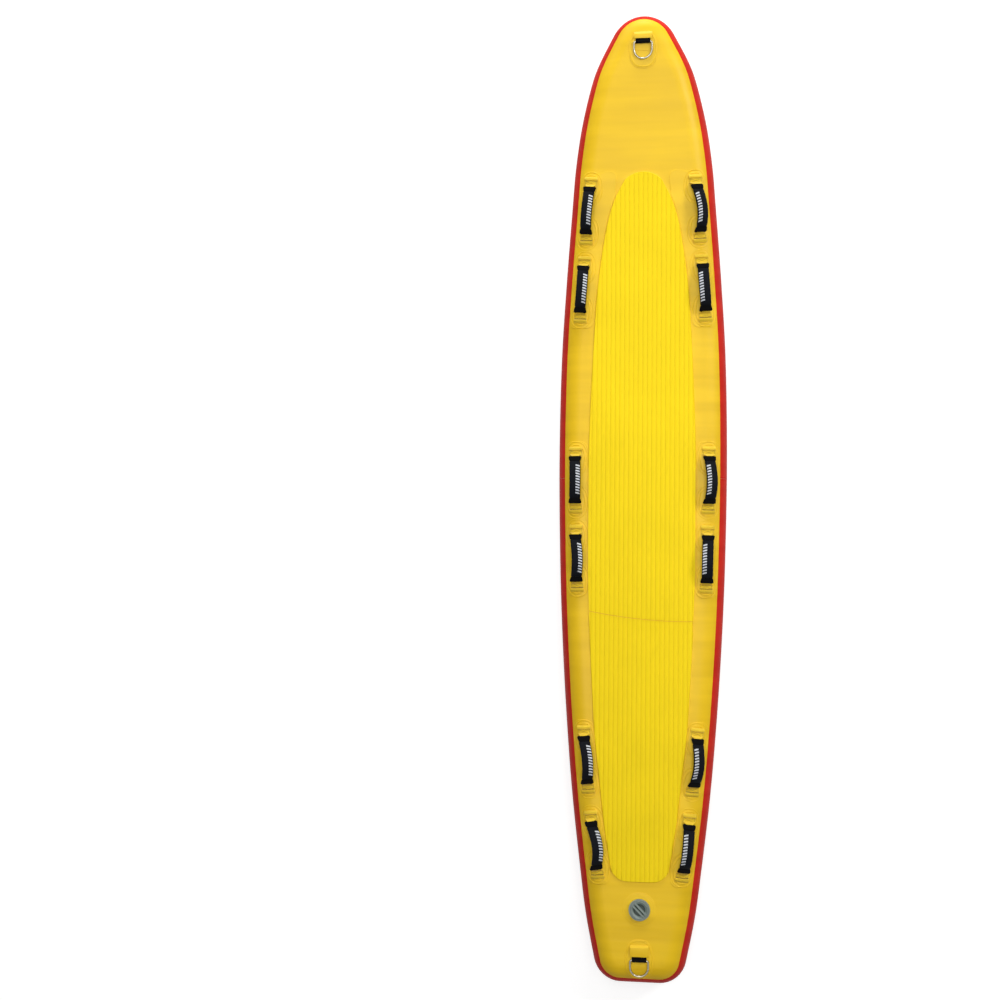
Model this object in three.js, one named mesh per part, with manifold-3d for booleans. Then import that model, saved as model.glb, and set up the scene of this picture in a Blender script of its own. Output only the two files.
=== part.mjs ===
// Inflatable lifeguard rescue board, in millimetres.
// It lies deck up: +Y points to the nose, +X to starboard and +Z up. The origin is under the middle of the
// board, on the surface that it stands on.
import * as THREE from 'three'
import { mergeVertices } from 'three/addons/utils/BufferGeometryUtils.js'
import Module from 'manifold-3d'

const wasm = await Module()
wasm.setup()

// Hull
const boardLength = 3200
const boardBeam = 562
const boardThickness = 150
const noseRise = 140
const rockerLength = 1250
const tailPanelHalfWidth = 78
const tailCornerRadius = 14
const nosePanelRadius = 40
const tailSideDegrees = 10
const noseSideDegrees = 30
const railBandDegrees = 46
const skinThickness = 1.2
const bandJointStation = 68
const facetLength = 130
const seat = 0.3

// The flat panel's edge between the tail corner and the nose: shares of its half length and half beam
const panelSideShares = [
  [-0.904, 0.509], [-0.819, 0.596], [-0.647, 0.744], [-0.475, 0.85], [-0.303, 0.927], [-0.129, 0.976],
  [0.085, 1], [0.301, 0.976], [0.473, 0.903], [0.645, 0.803], [0.73, 0.746], [0.814, 0.648], [0.894, 0.5],
  [0.935, 0.381]
]

// Deck pad
const padNoseInset = 516
const padTailInset = 338
const padHandleGap = 9
const padThickness = 5
const padTailHalfWidth = 97
const padCornerRadius = 42
const padNoseRadius = 85
const padNoseDegrees = 45
const padTailDegrees = 12
const groovePitch = 15.2
const grooveWidth = 2.6
const grooveDepth = 2
const grooveEdge = 6
const padJointWidth = 2

// How far the joint between the two sheets lies from the pad's tail, at three places across the pad
const padJointPort = 887
const padJointMiddle = 852
const padJointStarboard = 856

// The pad's edge between its tail corner and its nose: shares of its length and half beam
const padSideShares = [
  [0.078, 0.66], [0.126, 0.73], [0.182, 0.82], [0.24, 0.88], [0.409, 0.989], [0.538, 1], [0.644, 0.98],
  [0.796, 0.887], [0.85, 0.825], [0.888, 0.757], [0.927, 0.667], [0.96, 0.54]
]

// Handles: two rows on each panel, and three panels on each side. The bow pair is placed from the nose, the
// stern pair from the tail and the other one from the middle of the board.
const handleInset = 62
const bowPairInset = 770
const midPairStation = -70
const sternPairInset = 596
const pairSpacing = 261
const sternPairSpacing = 278
const panelOverhang = 130
const panelPadGap = 4
const panelRailGap = 6
const panelCornerRadius = 25
const panelInnerReach = 72
const pvcThickness = 1.2
const patchLength = 97
const patchWidth = 66
const patchSpacing = 146
const patchFullness = 0.8
const webbingWidth = 42
const webbingThickness = 2.4
const webbingSpan = 210
const webbingFoot = 18
const webbingRise = 4
const foldedWidth = 24
const gripLength = 158
const gripEndLength = 17
const gripShoulder = 37
const gripEndHeight = 16
const gripMidHeight = 42
const gripWidth = 31
const gripEndWidth = 41
const gripThickness = 12
const tunnelWidth = 30
const tunnelHeight = 7.2

// How far each grip leans towards its rail, in degrees, from bow to stern
const starboardLeanDegrees = [13, -5, 8, -6, 11, 1]
const portLeanDegrees = [-3, -9, -9, -16, -19, -28]

// D-rings, each placed from its end of the board
const noseRingInset = 101
const tailRingInset = 89
const noseRingDroopDegrees = 1
const tailRingDroopDegrees = 6
const ringWireRadius = 3
const ringInnerWidth = 53
const ringInnerDepth = 50
const ringWebbingWidth = 48
const ringWebbingThickness = 2.2
const ringWebbingTail = 26
const ringBoreGap = 0.5
const ringPatchWidth = 94
const ringPatchLength = 118
const ringPatchLead = 6
const ringPatchFullness = 0.7
const coverWidth = 60
const coverFoot = 10

// Inflation valve
const valveTailInset = 252
const valvePatchRadius = 55
const valvePatchInnerRadius = 46
const valveFlangeRadius = 35
const valveFlangeThickness = 3
const valveRimHeight = 5
const valveRecessRadius = 30
const valveBarrelRadius = 24
const valveBoreRadius = 19
const valveBarrelDepth = 36
const valveShelfDepth = 24
const valveShelfThickness = 3
const valvePortRadius = 3.6
const valveNutRadius = 33
const valveNutThickness = 9
const valveSealThickness = 1.4
const valveSealRadius = 33
const stemRadius = 3
const stemButtonRadius = 7
const stemButtonThickness = 3
const stemButtonDepth = 4
const stemDiscRadius = 15.5
const stemDiscThickness = 2
const diaphragmThickness = 1.5
const springWireRadius = 0.6
const springRadius = 5
const springTurns = 4
const capRadius = 29
const capThickness = 3
const capPlugRadius = 17.6
const capPlugWall = 3
const capPlugDepth = 5
const capBarLength = 50
const capBarWidth = 4
const capBarHeight = 6
const capBarSpacing = 9
const capBarDegrees = -45
const capSealThickness = 0.9
const tetherThickness = 1.2
const tetherWidth = 5
const tetherEyeInner = 20.5
const tetherEyeOuter = 26
const coreCavityRadius = 37
const coreCavityDepth = 48

// Fin box
const finBoxTailInset = 413
const finBoxLength = 221
const finBoxWidth = 51
const finBoxHeight = 18
const finSlotLength = 188
const finSlotWidth = 10
const finSlotDepth = 15
const finTrackWidth = 15
const finTrackHeight = 4
const finTrackDepth = 9
const finEntryRadius = 8
const finPatchLength = 248
const finPatchWidth = 110
const finPatchHeight = 12
const finPatchEdge = 1.5

// Facet counts
const cornerFacets = 4
const panelCornerFacets = 2
const noseFacets = 5
const patchRows = 5
const padJointFacets = 6
const bendFacets = 4
const ringBowFacets = 12
const ringPatchRows = 8
const springSteps = 8
const springSides = 4
const valvePorts = 4
const finFacets = 8
const roundSides = 18
const innerSides = 12
const wireSides = 8

const railRadius = boardThickness / 2
const hullBottom = finBoxHeight
const hullMiddle = hullBottom + railRadius
const deckTop = hullBottom + boardThickness
const boardTip = boardLength / 2
const bowPairStation = boardTip - bowPairInset
const sternPairStation = sternPairInset - boardTip
const noseRingStation = boardTip - noseRingInset
const tailRingStation = tailRingInset - boardTip
const valveStation = valveTailInset - boardTip
const finBoxStation = finBoxTailInset - boardTip
const panelHalfLength = boardTip - railRadius
const panelHalfBeam = boardBeam / 2 - railRadius
const panelTop = seat + pvcThickness
const patchTop = panelTop + pvcThickness
const radians = THREE.MathUtils.degToRad

// Closed solids from loops of points

// Joins doubled points, drops triangles that have no area and turns the faces outwards
function tidy(geometry) {
  geometry.deleteAttribute('normal')
  geometry.deleteAttribute('uv')
  const merged = mergeVertices(geometry)
  const index = merged.index.array
  const kept = []
  for (let i = 0; i < index.length; i += 3) {
    const [a, b, c] = [index[i], index[i + 1], index[i + 2]]
    if (a !== b && b !== c && c !== a) kept.push(a, b, c)
  }
  merged.setIndex(kept)
  const at = (i) => new THREE.Vector3().fromBufferAttribute(merged.attributes.position, kept[i])
  let volume = 0
  for (let i = 0; i < kept.length; i += 3) volume += at(i).dot(at(i + 1).cross(at(i + 2)))
  if (volume < 0) merged.setIndex(kept.reverse())
  return merged
}

// Skins a row of loops that have as many points each. A loop holds an upper edge and then the lower edge
// backwards, so that an end is closed by a strip between the two.
function loft(loops, { closed = false, caps = !closed } = {}) {
  const size = loops[0].length
  const points = loops.flat().flatMap((point) => point.toArray())
  const index = []
  const quad = (a, b, c, d) => index.push(a, b, c, a, c, d)
  const spans = closed ? loops.length : loops.length - 1
  for (let i = 0; i < spans; i++) {
    const here = i * size
    const next = ((i + 1) % loops.length) * size
    for (let j = 0; j < size; j++) {
      const k = (j + 1) % size
      quad(here + j, here + k, next + k, next + j)
    }
  }
  const last = (loops.length - 1) * size
  for (let j = 0; caps && j < size / 2 - 1; j++) {
    quad(j, size - 1 - j, size - 2 - j, j + 1)
    quad(last + j, last + j + 1, last + size - 2 - j, last + size - 1 - j)
  }
  const geometry = new THREE.BufferGeometry()
  geometry.setAttribute('position', new THREE.Float32BufferAttribute(points, 3))
  geometry.setIndex(index)
  return tidy(geometry)
}

// A sheet that follows a surface. Each row runs across it from one edge to the other, and is broken at the
// columns; place gives the point at a distance along, a distance across and a height.
function sheet(rows, columns, low, high, place) {
  const loops = rows.map(({ along, from, to }) => {
    const inside = columns.map((column) => THREE.MathUtils.clamp(column, from, to))
    const across = [from, ...inside, to]
    const upper = across.map((at) => place(along, at, high))
    const lower = across.map((at) => place(along, at, low))
    return [...upper, ...lower.reverse()]
  })
  return loft(loops)
}

// A profile of radius and height turned about +Z, closed on itself or on the axis
function turned(profile, sides = roundSides) {
  const points = profile.map(([radius, height]) => new THREE.Vector2(radius, height))
  const onAxis = points[0].x === 0 && points[points.length - 1].x === 0
  if (!onAxis) points.push(points[0].clone())
  return tidy(new THREE.LatheGeometry(points, sides).rotateX(Math.PI / 2))
}

// A flat outline given thickness from a height upwards
function extruded(shape, height, bottom) {
  const options = { depth: height, bevelEnabled: false, curveSegments: innerSides }
  const geometry = new THREE.ExtrudeGeometry(shape, options)
  return tidy(geometry.translate(0, 0, bottom))
}

function asSolid(geometry) {
  const vertProperties = Float32Array.from(geometry.attributes.position.array)
  const triVerts = Uint32Array.from(geometry.index.array)
  return new wasm.Manifold(new wasm.Mesh({ numProp: 3, vertProperties, triVerts }))
}

function asGeometry(solid) {
  const mesh = solid.getMesh()
  const geometry = new THREE.BufferGeometry()
  geometry.setAttribute('position', new THREE.BufferAttribute(mesh.vertProperties, 3))
  geometry.setIndex(new THREE.BufferAttribute(mesh.triVerts, 1))
  return geometry
}

function cutBy(geometry, ...cutters) {
  return asGeometry(cutters.reduce((solid, cutter) => solid.subtract(asSolid(cutter)), asSolid(geometry)))
}

function joined(geometry, ...others) {
  return asGeometry(others.reduce((solid, other) => solid.add(asSolid(other)), asSolid(geometry)))
}

// The board's plan

function arcPoints(centre, radius, fromDegrees, toDegrees, facets) {
  return Array.from({ length: facets + 1 }, (_, i) => {
    const angle = radians(fromDegrees + (toDegrees - fromDegrees) * i / facets)
    return new THREE.Vector2(centre.x + radius * Math.cos(angle), centre.y + radius * Math.sin(angle))
  })
}

// One side of an outline, from the middle of its square tail round the corner to the tip of its round nose
function halfOutline(plan) {
  const { tail, tip, tailHalfWidth, cornerRadius, tailDegrees, noseRadius, noseDegrees, side } = plan
  const cornerCentre = new THREE.Vector2(tailHalfWidth - cornerRadius, tail + cornerRadius)
  const noseCentre = new THREE.Vector2(0, tip - noseRadius)
  const corner = arcPoints(cornerCentre, cornerRadius, -90, -tailDegrees, cornerFacets)
  const nose = arcPoints(noseCentre, noseRadius, noseDegrees, 90, noseFacets)
  const knots = [corner[corner.length - 1], ...side, nose[0]]
  const spline = new THREE.SplineCurve(knots)
  const points = [new THREE.Vector2(0, tail), ...corner]
  for (let stretch = 0; stretch < knots.length - 1; stretch++) {
    const length = knots[stretch].distanceTo(knots[stretch + 1])
    const steps = Math.max(1, Math.round(length / facetLength))
    for (let step = 1; step <= steps; step++) {
      points.push(spline.getPoint((stretch + step / steps) / (knots.length - 1)))
    }
  }
  return [...points, ...nose.slice(1)]
}

const panelEdge = halfOutline({
  tail: -panelHalfLength,
  tip: panelHalfLength,
  tailHalfWidth: tailPanelHalfWidth,
  cornerRadius: tailCornerRadius,
  tailDegrees: tailSideDegrees,
  noseRadius: nosePanelRadius,
  noseDegrees: noseSideDegrees,
  side: panelSideShares.map(([y, x]) => new THREE.Vector2(x * panelHalfBeam, y * panelHalfLength))
})

const edgeNormals = panelEdge.map((point, i) => {
  if (i === 0) return new THREE.Vector2(0, -1)
  if (i === panelEdge.length - 1) return new THREE.Vector2(0, 1)
  const before = point.clone().sub(panelEdge[i - 1]).normalize()
  const after = panelEdge[i + 1].clone().sub(point).normalize()
  const along = before.add(after).normalize()
  return new THREE.Vector2(along.y, -along.x)
})

// The pad is as wide as the handles' patches let it be
const padBeam = boardBeam - 2 * (handleInset + patchWidth / 2 + padHandleGap)
const rockerStart = boardTip - rockerLength
const padTail = padTailInset - boardTip
const padTip = boardTip - padNoseInset
const padEdge = halfOutline({
  tail: padTail,
  tip: padTip,
  tailHalfWidth: padTailHalfWidth,
  cornerRadius: padCornerRadius,
  tailDegrees: padTailDegrees,
  noseRadius: padNoseRadius,
  noseDegrees: padNoseDegrees,
  side: padSideShares.map(([y, x]) => new THREE.Vector2(x * padBeam / 2, padTail + y * (padTip - padTail)))
})

// Half the width of an outline at a place along the board
function halfWidthAt(edge, y) {
  const i = edge.findIndex((point, k) => k > 0 && point.y >= y && point.y > edge[k - 1].y)
  const [a, b] = [edge[i - 1], edge[i]]
  return THREE.MathUtils.lerp(a.x, b.x, (y - a.y) / (b.y - a.y))
}

// The nose rocker lifts each cross-section. It is straight between the hull's stations, so that whatever
// lies on the deck bends just where the hull bends.
function smoothRocker(y) {
  const past = Math.max(0, y - rockerStart)
  return noseRise * (past / rockerLength) ** 2
}

function rockerAt(y) {
  const i = panelEdge.findIndex((point, k) => k > 0 && point.y >= y && point.y > panelEdge[k - 1].y)
  if (i < 0 || y < panelEdge[0].y) return smoothRocker(y)
  const [a, b] = [panelEdge[i - 1].y, panelEdge[i].y]
  return THREE.MathUtils.lerp(smoothRocker(a), smoothRocker(b), (y - a) / (b - a))
}

function lifted(point) {
  return new THREE.Vector3(point.x, point.y, point.z + rockerAt(point.y))
}

// The point at a height over the deck, above a place in plan. Past the panel's edge the plan wraps round
// the rail.
function overDeck(x, y, height) {
  const place = new THREE.Vector2(Math.abs(x), y)
  let nearest = null
  for (let i = 1; i < panelEdge.length; i++) {
    const start = panelEdge[i - 1]
    const along = panelEdge[i].clone().sub(start)
    const share = THREE.MathUtils.clamp(place.clone().sub(start).dot(along) / along.lengthSq(), 0, 1)
    const foot = start.clone().addScaledVector(along, share)
    const away = place.clone().sub(foot)
    const outside = away.x * along.y - away.y * along.x > 0
    if (!nearest || away.length() < nearest.away.length()) nearest = { foot, away, outside }
  }
  const reach = nearest.away.length()
  if (!nearest.outside || reach === 0) return lifted(new THREE.Vector3(x, y, deckTop + height))
  const angle = reach / railRadius
  const out = nearest.away.clone().multiplyScalar((railRadius + height) * Math.sin(angle) / reach)
  const side = x < 0 ? -1 : 1
  const up = hullMiddle + (railRadius + height) * Math.cos(angle)
  return lifted(new THREE.Vector3(side * (nearest.foot.x + out.x), nearest.foot.y + out.y, up))
}

// Materials

const materials = {
  drop_stitch: new THREE.MeshStandardMaterial({ color: '#d9d6c8', roughness: 0.9 }),
  deck_pvc: new THREE.MeshStandardMaterial({ color: '#e6c436', roughness: 0.45 }),
  pvc_patch: new THREE.MeshStandardMaterial({ color: '#e8c338', roughness: 0.4 }),
  rail_pvc: new THREE.MeshStandardMaterial({ color: '#d23a34', roughness: 0.4 }),
  foam: new THREE.MeshStandardMaterial({ color: '#fbdd20', roughness: 0.85 }),
  webbing: new THREE.MeshStandardMaterial({ color: '#e9c531', roughness: 0.8 }),
  black_webbing: new THREE.MeshStandardMaterial({ color: '#1a1a1c', roughness: 0.85 }),
  neoprene: new THREE.MeshStandardMaterial({ color: '#15171c', roughness: 0.9 }),
  stainless: new THREE.MeshStandardMaterial({ color: '#c9c7c0', roughness: 0.2, metalness: 1 }),
  grey_plastic: new THREE.MeshStandardMaterial({ color: '#7f878b', roughness: 0.5 }),
  black_plastic: new THREE.MeshStandardMaterial({ color: '#1e1e1c', roughness: 0.45 }),
  rubber: new THREE.MeshStandardMaterial({ color: '#232323', roughness: 0.8 })
}

const board = new THREE.Group()

function add(name, geometry, material, matrix) {
  geometry.computeVertexNormals()
  const mesh = new THREE.Mesh(geometry, materials[material])
  mesh.name = name
  if (matrix) mesh.applyMatrix4(matrix)
  board.add(mesh)
  return mesh
}

// Hull: the air core, a skin over the deck and one under the bottom, and two bands round the rail

const railBandEdge = seat / railRadius / radians(1)
const shoulderDegrees = (90 + railBandDegrees) / 2
const lastStation = panelEdge.length - 1

// A point on the rail, at a station that may lie between two of the panel's corners
function onRail(station, side, degrees, inset) {
  const i = Math.min(Math.floor(station), lastStation - 1)
  const foot = panelEdge[i].clone().lerp(panelEdge[i + 1], station - i)
  const normal = edgeNormals[i].clone().lerp(edgeNormals[i + 1], station - i)
  const radius = railRadius - inset
  const out = radius * Math.cos(radians(degrees))
  const up = hullMiddle + radius * Math.sin(radians(degrees))
  return lifted(new THREE.Vector3(side * (foot.x + normal.x * out), foot.y + normal.y * out, up))
}

const everyStation = panelEdge.map((_, i) => i)

// A body of the hull as cross-sections from tail to nose; each runs from port to starboard and back
function hullBody(upper, lower) {
  const loops = everyStation.map((station) => {
    const across = ({ angles, inset }) => [
      ...angles.map((degrees) => onRail(station, -1, degrees, inset)),
      ...angles.toReversed().map((degrees) => onRail(station, 1, degrees, inset))
    ]
    return [...across(upper), ...across(lower).reverse()]
  })
  return loft(loops, { caps: false })
}

function buildHull() {
  const coreInset = skinThickness + seat
  const half = railBandDegrees / 2
  const coreAngles = [0, half, railBandDegrees, shoulderDegrees, 90]
  const core = hullBody(
    { angles: coreAngles, inset: coreInset },
    { angles: coreAngles.slice(1).map((degrees) => -degrees), inset: coreInset }
  )
  const cavityBottom = deckTop - coreCavityDepth
  const cavity = turned(discProfile(coreCavityRadius, cavityBottom, deckTop + seat))
  cavity.translate(0, valveStation, 0)
  add('drop_stitch_core', cutBy(core, cavity), 'drop_stitch')

  const skinAngles = [railBandDegrees + railBandEdge, shoulderDegrees, 90]
  const deck = hullBody({ angles: skinAngles, inset: 0 }, { angles: skinAngles, inset: skinThickness })
  const holeRadius = valveBarrelRadius + seat
  const holeTop = deckTop + valveFlangeRadius
  const hole = turned(discProfile(holeRadius, cavityBottom, holeTop))
  hole.translate(0, valveStation, 0)
  add('deck_skin', cutBy(deck, hole), 'deck_pvc')

  const under = skinAngles.map((degrees) => -degrees)
  const bottom = hullBody({ angles: under, inset: 0 }, { angles: under, inset: skinThickness })
  add('bottom_skin', bottom, 'deck_pvc')

  const bandAngles = [railBandDegrees, half, 0, -half, -railBandDegrees]
  const bandLoop = ([station, side]) => [
    ...bandAngles.map((degrees) => onRail(station, side, degrees, 0)),
    ...bandAngles.toReversed().map((degrees) => onRail(station, side, degrees, skinThickness))
  ]
  const after = panelEdge.findIndex((point) => point.y > bandJointStation)
  const stretch = panelEdge[after].y - panelEdge[after - 1].y
  const joint = after - 1 + (bandJointStation - panelEdge[after - 1].y) / stretch
  const halfGap = seat / stretch
  const bowStations = [joint + halfGap, ...everyStation.slice(after)]
  const sternStations = [joint - halfGap, ...everyStation.slice(0, after).reverse()]
  for (const [name, stations] of [['rail_band_bow', bowStations], ['rail_band_stern', sternStations]]) {
    const starboard = stations.map((station) => [station, 1])
    const port = stations.slice(0, -1).reverse().map((station) => [station, -1])
    add(name, loft([...starboard, ...port].map(bandLoop)), 'rail_pvc')
  }
}

// Deck pad: two sheets of foam with lengthwise grooves, which meet at a slightly curved joint

function buildPads() {
  const padBottom = deckTop + seat
  const padTop = padBottom + padThickness
  const place = (y, x, z) => lifted(new THREE.Vector3(x, y, z))
  const firstBend = panelEdge.findIndex((point) => point.y > rockerStart) - 1
  const bends = panelEdge.slice(firstBend).map((point) => point.y).filter((y) => y < padTip)
  const ends = [...new Set([...padEdge.map((point) => point.y), ...bends])].sort((a, b) => a - b)
  const tailHalf = padTailHalfWidth - padCornerRadius
  const tailRow = { along: padTail, from: -tailHalf, to: tailHalf }
  const rows = ends.filter((y) => y > padTail && y < padTip).map((y) => {
    const half = halfWidthAt(padEdge, y)
    return { along: y, from: -half, to: half }
  })
  const pad = sheet([tailRow, ...rows, { along: padTip, from: 0, to: 0 }], [], padBottom, padTop, place)

  const overrun = padCornerRadius
  const grooveLines = [padTail - overrun, ...bends, padTip + overrun]
  const grooveCount = Math.floor((padBeam / 2 - grooveEdge) / groovePitch)
  const grooves = []
  for (let i = -grooveCount; i <= grooveCount; i++) {
    const from = i * groovePitch - grooveWidth / 2
    const lines = grooveLines.map((along) => ({ along, from, to: from + grooveWidth }))
    grooves.push(sheet(lines, [], padTop - grooveDepth, padTop + grooveDepth, place))
  }
  const grooved = grooves.reduce((solid, groove) => solid.subtract(asSolid(groove)), asSolid(pad))

  const joint = new THREE.QuadraticBezierCurve(
    new THREE.Vector2(-padBeam / 2, padTail + padJointPort),
    new THREE.Vector2(0, padTail + padJointMiddle),
    new THREE.Vector2(padBeam / 2, padTail + padJointStarboard)
  )
  const jointPoints = joint.getPoints(padJointFacets)
  for (const [name, direction, end] of [['deck_pad_fore', 1, padTip], ['deck_pad_aft', -1, padTail]]) {
    const shift = direction * padJointWidth / 2
    const far = end + direction * overrun
    const region = new THREE.Shape([
      new THREE.Vector2(-padBeam, far),
      new THREE.Vector2(-padBeam, padTail + padJointPort + shift),
      ...jointPoints.map((point) => new THREE.Vector2(point.x, point.y + shift)),
      new THREE.Vector2(padBeam, padTail + padJointStarboard + shift),
      new THREE.Vector2(padBeam, far)
    ])
    const block = extruded(region, boardThickness + noseRise, hullMiddle)
    add(name, asGeometry(grooved.intersect(asSolid(block))), 'foam')
  }
}

// Handles: a panel with its round patches, and on each pair of patches a webbing strap in a soft grip

const handlePairs = [
  { name: 'bow', station: bowPairStation, spacing: pairSpacing },
  { name: 'mid', station: midPairStation, spacing: pairSpacing },
  { name: 'stern', station: sternPairStation, spacing: sternPairSpacing }
]
const shoulderReach = railRadius * radians(90 - shoulderDegrees)
const bandReach = railRadius * radians(90 - railBandDegrees)

// Where a handle stands in plan: its middle, and the directions along and across the board there
function handlePlan(station, side) {
  const [foreHalf, aftHalf] = [patchLength, -patchLength].map((l) => halfWidthAt(panelEdge, station + l))
  const edgeSlope = (foreHalf - aftHalf) / (2 * patchLength)
  const along = new THREE.Vector2(side * edgeSlope, 1).normalize()
  const across = new THREE.Vector2(along.y, -along.x)
  const inset = halfWidthAt(panelEdge, station) + railRadius - handleInset
  const middle = new THREE.Vector2(side * inset, station)
  return (l, w, height) => {
    const plan = middle.clone().addScaledVector(along, l).addScaledVector(across, w)
    return overDeck(plan.x, plan.y, height)
  }
}

// The frame that a grip stands in: x across, y along and z away from the deck
function handleFrame(place) {
  const step = webbingThickness
  const origin = place(0, 0, 0)
  const along = place(step, 0, 0).sub(place(-step, 0, 0)).normalize()
  const across = place(0, step, 0).sub(place(0, -step, 0))
  const up = across.cross(along).normalize()
  const side = along.clone().cross(up).normalize()
  return new THREE.Matrix4().makeBasis(side, along, up).setPosition(origin)
}

// The lean of a grip about the line through its two ends
function leanMatrix(degrees) {
  const up = new THREE.Matrix4().makeTranslation(0, 0, gripEndHeight)
  const down = new THREE.Matrix4().makeTranslation(0, 0, -gripEndHeight)
  return up.multiply(new THREE.Matrix4().makeRotationY(radians(degrees))).multiply(down)
}

const gripEnd = gripLength / 2
const gripRows = [gripEnd, gripEnd - gripEndLength, gripEnd - gripEndLength - gripShoulder]
  .flatMap((l) => [-l, l])
  .sort((a, b) => a - b)

function archHeight(l) {
  return gripEndHeight + (gripMidHeight - gripEndHeight) * (1 - (2 * l / gripLength) ** 2)
}

// Eight points round a soft rectangle, flatter than an ellipse
function softLoop(width, height, l) {
  return Array.from({ length: wireSides }, (_, i) => {
    const angle = i / wireSides * 2 * Math.PI
    const round = (value) => Math.sign(value) * Math.sqrt(Math.abs(value))
    const x = width / 2 * round(Math.cos(angle))
    const z = height / 2 * round(Math.sin(angle))
    return new THREE.Vector3(x, l, archHeight(l) + z)
  })
}

function gripGeometry() {
  const rows = gripRows.map((l) => {
    const flare = Math.max(0, Math.abs(l) - (gripLength / 2 - gripEndLength)) / gripEndLength
    const outer = softLoop(THREE.MathUtils.lerp(gripWidth, gripEndWidth, flare), gripThickness, l)
    return { outer, inner: softLoop(tunnelWidth, tunnelHeight, l) }
  })
  const walls = Array.from({ length: wireSides }, (_, i) => [
    ...rows.map((row) => row.outer[i]),
    ...rows.map((row) => row.inner[i]).reverse()
  ])
  return loft(walls, { closed: true })
}

// A strap lies flat on its two patches, rises and folds to half its width, and runs through the grip
function strapGeometry(place, frame) {
  const edge = handleInset - railRadius
  const low = patchTop + seat
  const foot = webbingSpan / 2 - webbingFoot
  const flat = { share: 0, width: webbingWidth, low, high: low + webbingThickness }
  const halfFolded = (webbingWidth + foldedWidth) / 2
  const rise = { share: 0.5, width: halfFolded, low, high: low + webbingThickness * 1.5 }
  const folded = { share: 1, width: foldedWidth, low, high: low + webbingThickness * 2 }
  const half = [
    { l: webbingSpan / 2, ...flat }, { l: foot, ...flat }, { l: foot - webbingRise, ...rise },
    ...gripRows.filter((l) => l > 0).reverse().map((l) => ({ l, ...folded }))
  ]
  const rows = [...half, ...half.toReversed().map((row) => ({ ...row, l: -row.l }))]
  const loops = rows.map(({ l, share, width, low, high }) => {
    const across = [-width / 2, edge * place.side, (edge + shoulderReach) * place.side, width / 2]
      .map((w) => THREE.MathUtils.clamp(w, -width / 2, width / 2))
      .sort((a, b) => a - b)
    const thickness = high - low
    const at = (w, height, lift) => {
      const onPatch = place.at(l, w, height)
      const inArch = new THREE.Vector3(w, l, archHeight(Math.min(Math.abs(l), gripLength / 2)) + lift)
      return onPatch.lerp(inArch.applyMatrix4(frame), share)
    }
    const upper = across.map((w) => at(w, high, thickness / 2))
    const lower = across.map((w) => at(w, low, -thickness / 2))
    return [...upper, ...lower.reverse()]
  })
  return loft(loops)
}

// A panel under two handles, from the pad's edge to the rail band, with rounded corners
function panelGeometry(pair, side) {
  const half = pair.spacing / 2 + panelOverhang
  const [aft, fore] = [pair.station - half, pair.station + half]
  const corner = arcPoints(new THREE.Vector2(), panelCornerRadius, 0, 90, panelCornerFacets)
  const ends = corner.flatMap(({ y }) => [aft + panelCornerRadius - y, fore - panelCornerRadius + y])
  const padRange = [padTail + padCornerRadius, padTip]
  const bends = [...panelEdge, ...padEdge].map((point) => point.y)
    .filter((y) => y > aft + panelCornerRadius && y < fore - panelCornerRadius && y > padRange[0])
  const stations = [...new Set([...ends, ...bends, padRange[0]])].filter((y) => y >= aft && y <= fore)
    .sort((a, b) => a - b)
  const rows = stations.map((y) => {
    const past = Math.max(0, panelCornerRadius - Math.min(y - aft, fore - y))
    const round = panelCornerRadius - Math.sqrt(Math.max(0, panelCornerRadius ** 2 - past ** 2))
    const padSide = halfWidthAt(padEdge, THREE.MathUtils.clamp(y, ...padRange))
    const inner = Math.max(padSide + panelPadGap - halfWidthAt(panelEdge, y), -panelInnerReach)
    return { along: y, from: inner + round, to: bandReach - panelRailGap - round }
  })
  const place = (y, reach, height) => overDeck(side * (halfWidthAt(panelEdge, y) + reach), y, height)
  return sheet(rows, [0, shoulderReach], seat, panelTop, place)
}

// A round patch, sunk half way into its panel so that the two make one solid
function patchGeometry(place, centre) {
  const edge = handleInset - railRadius
  const rows = Array.from({ length: patchRows + 1 }, (_, i) => {
    const angle = Math.PI * (i / patchRows - 0.5)
    const end = i === 0 || i === patchRows
    const half = end ? 0 : patchWidth / 2 * Math.cos(angle) ** patchFullness
    return { along: centre + patchLength / 2 * Math.sin(angle), from: -half, to: half }
  })
  const columns = [edge * place.side, (edge + shoulderReach) * place.side].sort((a, b) => a - b)
  return sheet(rows, columns, seat + pvcThickness / 2, patchTop, place.at)
}

function buildHandles() {
  const grip = gripGeometry()
  const sides = [['starboard', 1, starboardLeanDegrees], ['port', -1, portLeanDegrees]]
  for (const [sideName, side, leans] of sides) {
    let row = 0
    for (const pair of handlePairs) {
      const patches = []
      for (const station of [pair.station + pair.spacing / 2, pair.station - pair.spacing / 2]) {
        const place = { at: handlePlan(station, side), side }
        const frame = handleFrame(place.at).multiply(leanMatrix(side * leans[row]))
        row += 1
        patches.push(patchGeometry(place, patchSpacing / 2), patchGeometry(place, -patchSpacing / 2))
        add(`handle_strap_${sideName}_${row}`, strapGeometry(place, frame), 'webbing')
        add(`grip_${sideName}_${row}`, grip.clone(), 'neoprene', frame)
      }
      const panel = joined(panelGeometry(pair, side), ...patches)
      add(`handle_panel_${sideName}_${pair.name}`, panel, 'pvc_patch')
    }
  }
}

// D-rings: a stainless ring in a fold of webbing, whose tail a cover holds down on a round patch

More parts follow.
